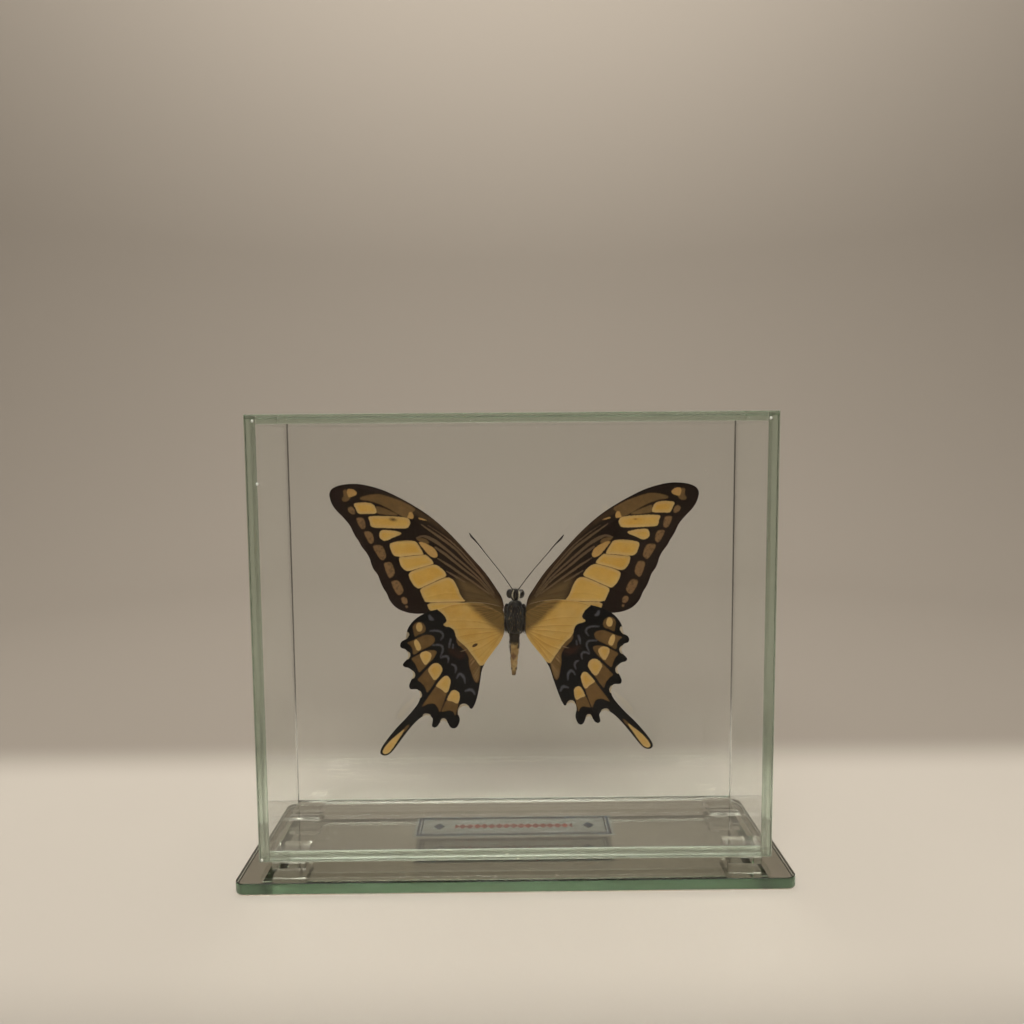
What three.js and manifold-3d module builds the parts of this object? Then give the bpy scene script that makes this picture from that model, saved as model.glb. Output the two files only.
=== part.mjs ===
// Swallowtail butterfly in a glass display box.
// Millimetres. +X to the right, +Y away from the viewer, +Z up.
// The origin is on the surface that the box stands on, under the middle of the base plate.

import * as THREE from 'three';
import { mergeVertices } from 'three/addons/utils/BufferGeometryUtils.js';
import Module from 'manifold-3d';

const wasm = await Module();
wasm.setup();

// ---------------------------------------------------------------- driving dimensions

// Box: six panes of clear glass.
const boxWidth = 170;
const boxDepth = 44;
const boxHeight = 147.3;
const paneThickness = 3;
const paneArris = 0.2;
const glueLine = 0.05;

// Base plate: mirror glass with rounded corners, silvered and painted underneath.
const baseWidth = 182;
const baseDepth = 58.6;
const baseGlass = 3.7;
const baseBacking = 0.3;
const baseCorner = 3.5;
const baseArris = 0.35;
const boxSetback = 0.8;

// Clear square pads that carry the box, one near each of its corners.
const padSide = 11.2;
const padHeight = 2.7;
const padPlaces = {
  pad_front_left: [-75.4, -15.7],
  pad_front_right: [76.4, -15.7],
  pad_rear_left: [-78, 15.2],
  pad_rear_right: [78, 15.2],
};

// Film label on the underside of the bottom pane.
const labelLength = 70.5;
const labelWidth = 14.5;
const labelThickness = 0.12;
const labelPlace = [-0.5, -1.1];

// Where the insect hangs: the middle of its thorax.
const insectX = 0.5;
const insectAboveBox = 77.2;
const bodyLean = 1.5;
const wingSet = 2.0;
const wingThickness = 0.3;
const wingGap = 0.3;
const postDiameter = 2.4;

// Heights that follow from the stack.
const baseTop = baseBacking + baseGlass;
const boxBottom = baseTop + padHeight;
const boxMiddleY = boxSetback;
const insectZ = boxBottom + insectAboveBox;

// ---------------------------------------------------------------- materials

const glassGreen = { color: 0xcfe0d2, roughness: 0.02, metalness: 0 };
const glassEdge = { color: 0x6f9a7c, roughness: 0.05, metalness: 0 };
const silvering = { color: 0x4c4744, roughness: 0.6, metalness: 0 };
const clearPad = { color: 0xd8dcd2, roughness: 0.08, metalness: 0 };
const film = { color: 0x9fb0b4, roughness: 0.3, metalness: 0 };
const wingBlack = { color: 0x2a1d14, roughness: 0.8, metalness: 0 };
const wingYellow = { color: 0xc9953f, roughness: 0.8, metalness: 0 };
const bodyBlack = { color: 0x1c1712, roughness: 0.85, metalness: 0 };
const bodyPale = { color: 0xb98b4e, roughness: 0.7, metalness: 0 };
const eyeBrown = { color: 0x17110d, roughness: 0.3, metalness: 0 };

// ---------------------------------------------------------------- helpers

function piece(name, geometry, finish) {
  const mesh = new THREE.Mesh(geometry, new THREE.MeshStandardMaterial(finish));
  mesh.name = name;
  return mesh;
}

// A closed geometry as a solid that can be joined and cut.
function solidOf(geometry) {
  const bare = geometry.index ? geometry.toNonIndexed() : geometry.clone();
  bare.deleteAttribute('normal');
  bare.deleteAttribute('uv');
  const merged = mergeVertices(bare, 1e-4);
  const mesh = new wasm.Mesh({
    numProp: 3,
    vertProperties: new Float32Array(merged.attributes.position.array),
    triVerts: new Uint32Array(merged.index.array),
  });
  return new wasm.Manifold(mesh);
}

function geometryOf(solid) {
  const mesh = solid.getMesh();
  const geometry = new THREE.BufferGeometry();
  geometry.setAttribute('position', new THREE.BufferAttribute(new Float32Array(mesh.vertProperties), 3));
  geometry.setIndex(new THREE.BufferAttribute(new Uint32Array(mesh.triVerts), 1));
  return geometry;
}

function joined(geometries) {
  return geometryOf(geometries.map(solidOf).reduce((all, next) => all.add(next)));
}

// A flat slab of glass, centred, with its edges broken by a small arris.
function slab(width, depth, height, arris) {
  const w = width / 2 - arris;
  const h = height / 2 - arris;
  const face = new THREE.Shape([
    new THREE.Vector2(-w, -h),
    new THREE.Vector2(w, -h),
    new THREE.Vector2(w, h),
    new THREE.Vector2(-w, h),
  ]);
  const geometry = new THREE.ExtrudeGeometry(face, {
    depth: depth - 2 * arris,
    bevelEnabled: true,
    bevelSize: arris,
    bevelThickness: arris,
    bevelSegments: 1,
  });
  geometry.translate(0, 0, arris - depth / 2);
  geometry.rotateX(Math.PI / 2);
  return geometry;
}

// A horizontal plate with rounded corners, standing on z = 0, its edge broken by an arris.
function roundedPlate(width, depth, height, corner, arris) {
  const w = width / 2 - arris;
  const d = depth / 2 - arris;
  const r = corner - arris;
  const outline = new THREE.Shape();
  outline.moveTo(w - r, -d);
  outline.absarc(w - r, -d + r, r, -Math.PI / 2, 0, false);
  outline.absarc(w - r, d - r, r, 0, Math.PI / 2, false);
  outline.absarc(-w + r, d - r, r, Math.PI / 2, Math.PI, false);
  outline.absarc(-w + r, -d + r, r, Math.PI, Math.PI * 1.5, false);
  const geometry = new THREE.ExtrudeGeometry(outline, {
    depth: height - 2 * arris,
    bevelEnabled: arris > 0,
    bevelSize: arris,
    bevelThickness: arris,
    bevelSegments: 2,
    curveSegments: 8,
  });
  geometry.translate(0, 0, arris);
  return geometry;
}

function ball(x, y, z, rx, ry, rz, around = 16, down = 10) {
  const geometry = new THREE.SphereGeometry(1, around, down);
  geometry.scale(rx, ry, rz);
  geometry.translate(x, y, z);
  return geometry;
}

// A body part turned about the vertical axis from [radius, height] pairs, deeper than it is wide.
function turned(profile, deepness, around = 20) {
  const geometry = new THREE.LatheGeometry(profile.map(([r, z]) => new THREE.Vector2(r, z)), around);
  geometry.rotateX(Math.PI / 2);
  geometry.scale(1, deepness, 1);
  return geometry;
}

// A round tube through the given points.
function tube(points, radius, steps, sides = 8) {
  const route = new THREE.CatmullRomCurve3(points.map(([x, y, z]) => new THREE.Vector3(x, y, z)));
  const section = new THREE.Shape();
  for (let i = 0; i < sides; i += 1) {
    const angle = (i / sides) * Math.PI * 2;
    const corner = [radius * Math.cos(angle), radius * Math.sin(angle)];
    if (i === 0) section.moveTo(...corner);
    else section.lineTo(...corner);
  }
  section.closePath();
  return new THREE.ExtrudeGeometry(section, { steps, extrudePath: route, bevelEnabled: false });
}

// ---------------------------------------------------------------- the case

function buildCase() {
  const group = new THREE.Group();
  const innerDepth = boxDepth - 2 * paneThickness - 2 * glueLine;
  const innerWidth = boxWidth - 2 * paneThickness - 2 * glueLine;
  const faceY = (boxDepth - paneThickness) / 2;
  const sideX = (boxWidth - paneThickness) / 2;
  const lidZ = (boxHeight - paneThickness) / 2;

  const faceGlass = () => slab(boxWidth, paneThickness, boxHeight, paneArris);
  const sideGlass = () => slab(paneThickness, innerDepth, boxHeight, paneArris);
  const lidGlass = () => slab(innerWidth, innerDepth, paneThickness, paneArris);

  const panes = [
    ['pane_front', faceGlass(), 0, -faceY, 0],
    ['pane_back', faceGlass(), 0, faceY, 0],
    ['pane_left', sideGlass(), -sideX, 0, 0],
    ['pane_right', sideGlass(), sideX, 0, 0],
    ['pane_top', lidGlass(), 0, 0, lidZ],
    ['pane_bottom', lidGlass(), 0, 0, -lidZ],
  ];
  for (const [name, geometry, x, y, z] of panes) {
    const pane = piece(name, geometry, glassGreen);
    pane.position.set(x, y, z);
    group.add(pane);
  }
  group.position.set(0, boxMiddleY, boxBottom + boxHeight / 2);
  return group;
}

function buildBase() {
  const group = new THREE.Group();
  const plateGlass = roundedPlate(baseWidth, baseDepth, baseGlass - glueLine, baseCorner, baseArris);
  const plate = piece('base_plate', plateGlass, glassEdge);
  plate.position.z = baseBacking + glueLine;
  group.add(plate);

  const inset = 2 * baseArris;
  const backing = roundedPlate(baseWidth - inset, baseDepth - inset, baseBacking, baseCorner - baseArris, 0);
  group.add(piece('mirror_backing', backing, silvering));

  for (const [name, [x, y]] of Object.entries(padPlaces)) {
    const pad = piece(name, slab(padSide, padSide, padHeight - 2 * glueLine, paneArris), clearPad);
    pad.position.set(x, boxMiddleY + y, baseTop + padHeight / 2);
    group.add(pad);
  }

  const label = piece('label', new THREE.BoxGeometry(labelLength, labelWidth, labelThickness), film);
  const labelZ = boxBottom - glueLine - labelThickness / 2;
  label.position.set(labelPlace[0], boxMiddleY + labelPlace[1], labelZ);
  group.add(label);
  return group;
}

// ---------------------------------------------------------------- wing outlines

// Each outline is drawn on the wing's own sheet: how far out from the body's middle line, and how
// far above the middle of the thorax. It runs from the root along the front edge to the tip, and
// back along the outer and the inner edge.

const forewingOutline = [
  [3.9, 4.2], [4.6, 7.0], [6.3, 9.8], [10.1, 15.4], [15.1, 21.2], [20.3, 27.1],
  [25.1, 31.9], [30.0, 36.0], [35.0, 39.3], [40.0, 42.1], [45.0, 44.5], [50.0, 46.1],
  [54.5, 46.9], [58.5, 46.8], [61.5, 46.2], [63.5, 45.1], [64.3, 43.5], [64.1, 41.8],
  [63.4, 39.8], [62.1, 37.8], [60.2, 35.8], [58.5, 33.9], [57.2, 32.1], [56.4, 30.3],
  [55.5, 28.5], [54.3, 26.7], [53.4, 24.9], [52.0, 23.1], [50.8, 21.0], [50.2, 19.0],
  [49.5, 17.1], [48.0, 15.0], [47.2, 12.8], [46.2, 10.4], [44.9, 8.3], [44.1, 6.2],
  [43.0, 4.6], [41.5, 3.2], [39.5, 2.1], [37.0, 1.4], [34.2, 1.1], [31.5, 1.2],
  [26.0, 0.7], [18.0, 0.4], [10.0, 0.7], [5.5, 1.6], [4.1, 2.6],
];

const hindwingOutline = [
  [3.7, -1.0], [3.8, 1.5], [5.0, 3.6], [9.0, 4.8], [14.0, 5.3], [19.0, 5.0],
  [23.0, 4.2], [27.0, 2.9], [30.0, 2.0], [32.6, 0.9], [34.9, -0.6], [36.7, -2.5],
  [37.9, -4.6], [38.2, -6.4], [38.7, -7.9], [39.9, -8.6], [40.5, -9.9], [40.1, -11.0],
  [38.9, -11.3], [38.0, -12.3], [37.7, -13.6], [38.1, -14.9], [39.1, -16.0], [39.7, -17.0],
  [39.1, -17.8], [37.7, -18.1], [36.5, -19.1], [36.1, -20.4], [36.5, -21.9], [37.2, -23.3],
  [37.6, -24.6], [37.2, -25.7], [35.9, -25.8], [34.6, -25.9], [33.9, -27.2], [33.8, -29.0],
  [34.6, -31.0], [36.4, -33.4], [39.0, -36.4], [42.0, -39.5], [44.6, -42.6], [46.8, -45.5],
  [48.1, -47.7], [48.3, -49.1], [47.4, -49.9], [45.8, -49.8], [44.2, -48.6], [42.2, -46.1],
  [40.0, -43.1], [37.5, -39.9], [35.2, -37.4], [33.2, -35.8], [31.5, -35.2], [30.1, -35.6],
  [29.4, -36.6], [29.6, -38.0], [29.7, -39.1], [28.9, -39.7], [27.8, -39.2], [27.1, -38.2],
  [26.1, -37.2], [24.9, -37.3], [24.0, -38.1], [23.4, -39.3], [22.3, -40.0], [21.1, -39.7],
  [20.2, -38.4], [19.8, -36.8], [20.1, -35.4], [20.3, -34.0], [19.7, -32.6], [18.2, -31.9],
  [16.7, -32.2], [15.6, -32.9], [14.6, -31.6], [13.7, -29.2], [13.0, -26.2], [12.4, -22.8],
  [11.8, -19.0], [10.3, -15.8], [7.5, -12.0], [5.2, -8.8], [4.0, -6.2], [3.7, -3.6],
];

// How each wing is set at its root: a small turn in the wing's own plane, a small shift, and how
// far its dried inner edge has curled away from the body.
const wingSettings = {
  forewing_left: { outline: forewingOutline, side: -1, turn: 0, shift: [0, 0], curl: 0 },
  forewing_right: { outline: forewingOutline, side: 1, turn: -0.3, shift: [0.1, -0.1], curl: 0 },
  hindwing_left: { outline: hindwingOutline, side: -1, turn: 0, shift: [0, 0], curl: 0 },
  hindwing_right: { outline: hindwingOutline, side: 1, turn: 1.2, shift: [-0.45, 0.45], curl: 1.7 },
};

// The curl grows down the inner edge and dies out across the wing.
const curlTop = -14;
const curlReach = 18;
const curlInner = 14;
const curlOuter = 28;

function curled(out, up, curl) {
  const down = THREE.MathUtils.smoothstep(curlTop - up, 0, curlReach);
  const across = 1 - THREE.MathUtils.smoothstep(out, curlInner, curlOuter);
  return out + curl * down * across;
}

const outlineSteps = 3;
const forewingBack = wingGap / 2 + wingThickness;
const hindwingBack = -wingGap / 2;

function buildWing(name) {
  const { outline, side, turn, shift, curl } = wingSettings[name];
  const knots = outline.map(([out, up]) => new THREE.Vector3(curled(out, up, curl), up, 0));
  const edge = new THREE.CatmullRomCurve3(knots, true, 'centripetal');
  const samples = edge.getPoints(outline.length * outlineSteps).slice(0, -1);
  const angle = THREE.MathUtils.degToRad(turn);
  const placed = samples.map((p) => new THREE.Vector2(
    side * (p.x * Math.cos(angle) - p.y * Math.sin(angle) + shift[0]),
    p.x * Math.sin(angle) + p.y * Math.cos(angle) + shift[1],
  ));
  const flat = new THREE.Shape(placed);
  const sheet = new THREE.ExtrudeGeometry(flat, { depth: wingThickness, bevelEnabled: false });
  sheet.rotateX(Math.PI / 2);

  // The sheet's back face lies at y = 0; the wing leans back a little towards its tip.
  const wing = piece(name, sheet, name.startsWith('fore') ? wingBlack : wingYellow);
  wing.position.y = name.startsWith('fore') ? forewingBack : hindwingBack;
  wing.rotation.z = THREE.MathUtils.degToRad(side * wingSet);
  return wing;
}

// ---------------------------------------------------------------- the body

const thoraxRadius = 3.2;
const thoraxProfile = [
  [0, -6.0], [1.5, -5.7], [2.6, -4.4], [3.0, -2.4], [thoraxRadius, 0],
  [3.1, 2.2], [2.8, 4.2], [1.9, 5.7], [0, 6.1],
];
const thoraxDeepness = 1.12;
const thoraxDeep = thoraxRadius * thoraxDeepness;

const legRadius = 0.28;
const legRoutes = [
  [[0.9, -2.9, 3.6], [2.1, -3.1, 2.6], [2.6, -2.8, 0.6], [1.5, -3.5, 1.6], [0.6, -3.7, 2.6]],
  [[0.7, -3.3, 1.2], [1.9, -3.5, -0.4], [2.3, -3.0, -2.2], [1.2, -3.7, -1.4], [0.5, -3.8, 0.2]],
  [[0.6, -3.2, -1.8], [1.5, -3.4, -3.4], [1.9, -2.7, -5.2], [1.0, -3.2, -5.6], [0.5, -3.5, -3.6]],
];

function buildThorax() {
  const parts = [turned(thoraxProfile, thoraxDeepness)];
  for (const side of [-1, 1]) {
    for (const route of legRoutes) {
      parts.push(tube(route.map(([x, y, z]) => [side * x, y, z]), legRadius, 12, 6));
    }
  }
  return piece('thorax', joined(parts), bodyBlack);
}

// A slim clear rod from the rear pane to the insect's back.
function buildPost() {
  const start = thoraxDeep + wingGap;
  const end = boxDepth / 2 - paneThickness - glueLine;
  const rod = new THREE.CylinderGeometry(postDiameter / 2, postDiameter / 2, end - start, 20);
  const post = piece('mounting_post', rod, glassGreen);
  post.position.set(insectX, boxMiddleY + (start + end) / 2, insectZ);
  return post;
}

const headZ = 8.25;
const eyeX = 2.25;
const eyeSize = [1.3, 1.45, 1.7];
const eyeGap = 0.15;

function buildHead() {
  const group = new THREE.Group();
  const parts = [ball(0, 0, headZ, 2.0, 1.9, 1.75)];
  for (const side of [-1, 1]) {
    parts.push(tube([[side * 0.7, -1.4, 6.9], [side * 0.85, -2.3, 7.6], [side * 0.8, -2.5, 9.0]], 0.42, 8));
  }
  const proboscis = new THREE.TorusGeometry(0.75, 0.22, 6, 16);
  proboscis.rotateY(Math.PI / 2);
  proboscis.translate(0, -2.1, 7.6);
  parts.push(proboscis);
  let head = parts.map(solidOf).reduce((all, next) => all.add(next));
  for (const side of [-1, 1]) {
    const [rx, ry, rz] = eyeSize;
    head = head.subtract(solidOf(ball(side * eyeX, -0.2, headZ, rx + eyeGap, ry + eyeGap, rz + eyeGap)));
    const eye = ball(side * eyeX, -0.2, headZ, rx, ry, rz);
    group.add(piece(side < 0 ? 'eye_left' : 'eye_right', eye, eyeBrown));
  }
  group.add(piece('head', geometryOf(head), bodyBlack));
  return group;
}

// Seven rings, each slightly waisted where it meets the next, and two claspers at the end.
function buildAbdomen() {
  const rings = 7;
  const top = -6.4;
  const bottom = -19.6;
  const waist = 0.12;
  const profile = [[0, bottom - 0.5], [0.7, bottom - 0.4]];
  for (let ring = rings; ring > 0; ring -= 1) {
    const low = top + ((bottom - top) * ring) / rings;
    const middle = low + (top - bottom) / rings / 2;
    const along = ring / rings;
    const radius = 1.85 - 0.7 * along * along;
    profile.push([radius - waist, low], [radius, middle]);
  }
  profile.push([1.5, top], [0, top + 0.15]);
  const parts = [turned(profile, 1.1, 16)];
  for (const side of [-1, 1]) {
    parts.push(ball(side * 0.55, -0.1, bottom - 0.4, 0.5, 0.8, 1.1, 10, 6));
  }
  return piece('abdomen', joined(parts), bodyPale);
}

// Each antenna ends in a small long club, centred on the route's last point but one.
const antennaRoute = [
  [0.9, -0.4, 10.2], [5.0, -0.7, 15.4], [10.2, -0.9, 21.8],
  [13.6, -1.0, 26.0], [15.2, -1.0, 27.7], [16.5, -1.0, 29.4],
];
const antennaRadius = 0.2;
const clubRadius = 0.42;
const clubHalfLength = 2.2;

function buildAntenna(side) {
  const route = antennaRoute.map(([x, y, z]) => [side * x, y, z]);
  const shaft = tube(route, antennaRadius, 24, 6);
  const [before, [clubX, clubY, clubZ], after] = antennaRoute.slice(-3);
  const club = ball(0, 0, 0, clubRadius, clubRadius, clubHalfLength, 8, 8);
  club.rotateY(side * Math.atan2(after[0] - before[0], after[2] - before[2]));
  club.translate(side * clubX, clubY, clubZ);
  const name = side < 0 ? 'antenna_left' : 'antenna_right';
  return piece(name, joined([shaft, club]), bodyBlack);
}

function buildInsect() {
  const insect = new THREE.Group();
  const body = new THREE.Group();
  body.add(buildThorax());
  body.add(buildHead());
  body.add(buildAbdomen());
  body.add(buildAntenna(-1));
  body.add(buildAntenna(1));
  body.rotation.y = THREE.MathUtils.degToRad(bodyLean);
  insect.add(body);
  for (const name of Object.keys(wingSettings)) {
    insect.add(buildWing(name));
  }
  insect.position.set(insectX, boxMiddleY, insectZ);
  return insect;
}

// ---------------------------------------------------------------- the whole object

const group = new THREE.Group();
group.add(buildBase());
group.add(buildCase());
group.add(buildPost());
group.add(buildInsect());

export default group;
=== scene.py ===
# %% [markdown]
# # A swallowtail butterfly in a glass display box
#
# The real object is a large swallowtail, set with its wings spread, inside a narrow box of six
# clear panes. The box stands on four clear pads, and the pads stand on a thin plate of mirror
# glass. This notebook dresses the solid model: it keeps the flat pieces of glass as they are and
# gives them real glass, and it remakes the insect with its scales, veins, hair and colours.

# %% Load the solid model
import math
import random

import bmesh
import bpy
import numpy as np
from mathutils import Matrix, Vector, noise


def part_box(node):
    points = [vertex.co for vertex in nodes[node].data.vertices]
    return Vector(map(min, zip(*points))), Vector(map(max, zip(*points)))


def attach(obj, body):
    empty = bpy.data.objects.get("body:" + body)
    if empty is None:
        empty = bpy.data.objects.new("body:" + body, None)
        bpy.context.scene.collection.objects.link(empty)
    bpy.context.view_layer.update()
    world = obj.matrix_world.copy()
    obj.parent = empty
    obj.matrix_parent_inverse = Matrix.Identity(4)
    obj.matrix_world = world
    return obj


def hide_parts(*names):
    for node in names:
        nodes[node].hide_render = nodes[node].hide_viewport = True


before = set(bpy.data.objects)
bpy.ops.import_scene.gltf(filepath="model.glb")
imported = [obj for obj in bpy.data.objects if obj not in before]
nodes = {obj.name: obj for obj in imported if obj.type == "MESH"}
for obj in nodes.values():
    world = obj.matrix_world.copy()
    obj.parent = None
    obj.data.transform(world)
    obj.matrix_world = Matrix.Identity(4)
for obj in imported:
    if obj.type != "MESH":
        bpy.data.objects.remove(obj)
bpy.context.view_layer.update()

# %% [markdown]
# ## Where things are
#
# Every place below is worked out from the solids. The insect's own middle is the middle of its
# thorax: the clear post behind it points straight at it, and it hangs halfway between the two
# large panes.

# %% Main places and sizes
MM = 0.001
post_low, post_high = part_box("mounting_post")
front_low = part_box("pane_front")[0]
back_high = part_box("pane_back")[1]
insect = Vector((
    (post_low.x + post_high.x) / 2,
    (front_low.y + back_high.y) / 2,
    (post_low.z + post_high.z) / 2,
))
WING_SET = math.radians(2.0)
BODY_LEAN = math.radians(1.5)
print("middle of the thorax:", [round(x, 4) for x in insect])

# %% [markdown]
# ## The camera
#
# The lens is fairly wide and close, a little above the butterfly, and looks down by under five
# degrees. That is why the base plate shows its top face while the panes still stand almost
# upright.

# %% Camera
LENS = 27.42
CAMERA_AT = Vector((-2.07, -269.5, 142.75)) * MM
CAMERA_DOWN = 0.0816
CAMERA_LEFT = 0.0068
CAMERA_ROLL = -0.0078

camera_data = bpy.data.cameras.new("camera")
camera_data.lens = LENS
camera_data.sensor_width = 36.0
camera = bpy.data.objects.new("camera", camera_data)
upright = Matrix.Rotation(math.pi / 2 - CAMERA_DOWN, 3, "X")
turned = Matrix.Rotation(-CAMERA_LEFT, 3, "Z") @ upright @ Matrix.Rotation(CAMERA_ROLL, 3, "Z")
camera.matrix_world = Matrix.Translation(CAMERA_AT) @ turned.to_4x4()
bpy.context.scene.collection.objects.link(camera)
bpy.context.scene.camera = camera
print("camera at", [round(x, 4) for x in camera.location])

# %% [markdown]
# ## Shader maths that reads like arithmetic
#
# A finish is easiest to follow as a formula. `Wire` wraps one output of a node, and an expression
# on wires adds the Math nodes for it. `Finish` starts a material. Its method `node` adds any
# node, and the others are short names for the nodes that are used most.

# %% Wires
class Wire:
    """One node output that can be added, multiplied and so on."""

    def __init__(self, finish, socket):
        self.finish = finish
        self.socket = socket

    def maths(self, operation, *others, swap=False):
        values = [self, *others]
        if swap:
            values.reverse()
        return self.finish.node("ShaderNodeMath", {"operation": operation}, dict(enumerate(values)))

    def __add__(self, other):
        return self.maths("ADD", other)

    def __radd__(self, other):
        return self.maths("ADD", other, swap=True)

    def __sub__(self, other):
        return self.maths("SUBTRACT", other)

    def __rsub__(self, other):
        return self.maths("SUBTRACT", other, swap=True)

    def __mul__(self, other):
        return self.maths("MULTIPLY", other)

    def __rmul__(self, other):
        return self.maths("MULTIPLY", other, swap=True)

    def __truediv__(self, other):
        return self.maths("DIVIDE", other)

    def top(self, other):
        return self.maths("MAXIMUM", other)

    def size(self):
        return self.maths("ABSOLUTE")

    def step(self, low, high):
        """A smooth step from 0 at low to 1 at high."""
        settings = {"interpolation_type": "SMOOTHSTEP"}
        return self.finish.node("ShaderNodeMapRange", settings, {0: self, 1: low, 2: high})

# %% Finishes
class Finish:
    """A new material. One method adds and wires any node, and the others are short names."""

    def __init__(self, name):
        self.material = bpy.data.materials.new(name)
        self.material.use_nodes = True
        self.tree = self.material.node_tree
        self.tree.nodes.clear()
        self.output = self.tree.nodes.new("ShaderNodeOutputMaterial")

    def node(self, kind, settings=None, sockets=None, out=0):
        made = self.tree.nodes.new(kind)
        for key, value in (settings or {}).items():
            setattr(made, key, value)
        for key, value in (sockets or {}).items():
            socket = made.inputs[key]
            if isinstance(value, Wire):
                self.tree.links.new(value.socket, socket)
            else:
                socket.default_value = value
        return Wire(self, made.outputs[out])

    def place(self):
        return self.node("ShaderNodeTexCoord", out="Object")

    def axes(self, middle):
        """Across, deep and up, in millimetres from a middle."""
        sockets = {"Vector": self.place(), "Location": -middle}
        settled = self.node("ShaderNodeMapping", None, sockets)
        return [wire / MM for wire in self.split(settled)]

    def split(self, vector):
        """The three parts of a vector."""
        parts = self.node("ShaderNodeSeparateXYZ", None, {"Vector": vector}).socket.node
        return [Wire(self, parts.outputs[axis]) for axis in "XYZ"]

    def field(self, name):
        return self.node("ShaderNodeAttribute", {"attribute_name": name}, out="Fac")

    def cloud(self, scale, detail, at=None):
        sockets = {"Vector": at or self.place(), "Scale": scale, "Detail": detail}
        return self.node("ShaderNodeTexNoise", None, sockets)

    def blend(self, low, high, amount, blend_type="MIX"):
        """One colour over another."""
        settings = {"data_type": "RGBA", "blend_type": blend_type}
        return self.node("ShaderNodeMix", settings, {0: amount, 6: low, 7: high}, out=2)

    def bump(self, height, distance, strength):
        sockets = {"Height": height, "Distance": distance, "Strength": strength}
        return self.node("ShaderNodeBump", None, sockets)

    def principled(self, **sockets):
        """The Principled shader, with its sockets named with underscores for spaces."""
        named = {key.replace("_", " "): value for key, value in sockets.items()}
        return self.node("ShaderNodeBsdfPrincipled", None, named)

    def mixed(self, first, second, amount):
        """Two shaders mixed."""
        return self.node("ShaderNodeMixShader", None, {0: amount, 1: first, 2: second})

    def show(self, shader):
        self.tree.links.new(shader.socket, self.output.inputs["Surface"])

    def surface(self, **sockets):
        self.show(self.principled(**sockets))

def paint(red, green, blue):
    return (red, green, blue, 1.0)

print("finishes are ready")

# %% [markdown]
# ## The glass
#
# Float glass is clear through its face and green along its edge, because light in the edge view
# has crossed many centimetres of glass. One absorbing volume does both: a 3 mm pane hardly tints,
# while its long edge turns green by itself. The edges are ground and only half polished, so they
# scatter light and look even. The finish knows an edge by its normal: the flat faces of a pane
# look along the pane's thin axis, and the edges look across it.

# %% Clear glass
GLASS_IOR = 1.52
SMEAR = 0.022
SMEAR_SIZE = 34.0
FLAT_FROM = 0.70
FLAT_TO = 0.98

def glass_finish(name, thin_axis, edge_roughness, volume_colour, density, ior=GLASS_IOR):
    """Glass with smooth faces along its thin axis and rougher edges across it."""
    finish = Finish(name)
    geometry = finish.node("ShaderNodeNewGeometry", out="Normal")
    facing = finish.node("ShaderNodeSeparateXYZ", None, {"Vector": geometry}, out=thin_axis).size()
    flat = facing.step(FLAT_FROM, FLAT_TO)
    smears = finish.cloud(SMEAR_SIZE, 3.0) * SMEAR
    finish.surface(
        Base_Color=paint(1.0, 1.0, 1.0),
        Roughness=edge_roughness + (smears - edge_roughness) * flat,
        IOR=ior,
        Transmission_Weight=1.0,
    )
    colour = paint(*volume_colour)
    volume = finish.node("ShaderNodeVolumeAbsorption", None, {"Color": colour, "Density": density})
    finish.tree.links.new(volume.socket, finish.output.inputs["Volume"])
    return finish.material

def dress(node, material):
    solid = nodes[node]
    solid.data.materials.clear()
    solid.data.materials.append(material)

PANE_TINT = (0.26, 0.62, 0.28)
PANE_DENSITY = 10.0
PANE_EDGE = 0.14
THIN_AXIS = {
    "pane_front": "Y", "pane_back": "Y",
    "pane_left": "X", "pane_right": "X",
    "pane_top": "Z", "pane_bottom": "Z",
}
pane_finishes = {
    axis: glass_finish("box_glass_" + axis.lower(), axis, PANE_EDGE, PANE_TINT, PANE_DENSITY)
    for axis in "XYZ"
}
for node, axis in THIN_AXIS.items():
    dress(node, pane_finishes[axis])
print("panes dressed:", len(THIN_AXIS))

# %% [markdown]
# ## The base plate, its mirror and the pads
#
# The plate is thicker, greener glass with a silver and paint layer underneath. The solids already
# hold the two layers, so light enters the glass, meets the silver and comes back through it,
# which gives the plate its soft grey. The four pads are clear soft plastic. It wets the glass on
# both sides, so little light is turned back at their faces, and a low index of refraction stands
# for that.

# %% Base plate
BASE_TINT = (0.03, 0.36, 0.08)
BASE_DENSITY = 27.0
BASE_EDGE = 0.30
SILVER_DARK = paint(0.62, 0.56, 0.51)
SILVER_LIGHT = paint(0.68, 0.62, 0.57)
dress("base_plate", glass_finish("base_glass", "Z", BASE_EDGE, BASE_TINT, BASE_DENSITY))

mirror = Finish("mirror_backing")
mirror.surface(
    Base_Color=mirror.blend(SILVER_DARK, SILVER_LIGHT, mirror.cloud(26.0, 3.0)),
    Metallic=1.0,
    Roughness=0.03 + 0.06 * mirror.cloud(60.0, 3.0),
)
dress("mirror_backing", mirror.material)

# %% Pads and post
PADS = ("pad_front_left", "pad_front_right", "pad_rear_left", "pad_rear_right")
PAD_TINT = (0.72, 0.82, 0.74)
PAD_DENSITY = 12.0
PAD_EDGE = 0.06
PAD_IOR = 1.2
POST_TINT = (0.85, 0.9, 0.85)
POST_DENSITY = 6.0
POST_EDGE = 0.02
pad_material = glass_finish("clear_pads", "Z", PAD_EDGE, PAD_TINT, PAD_DENSITY, PAD_IOR)
for node in PADS:
    dress(node, pad_material)
dress("mounting_post", glass_finish("post", "Y", POST_EDGE, POST_TINT, POST_DENSITY))
print("base, mirror, pads and post dressed")

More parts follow.
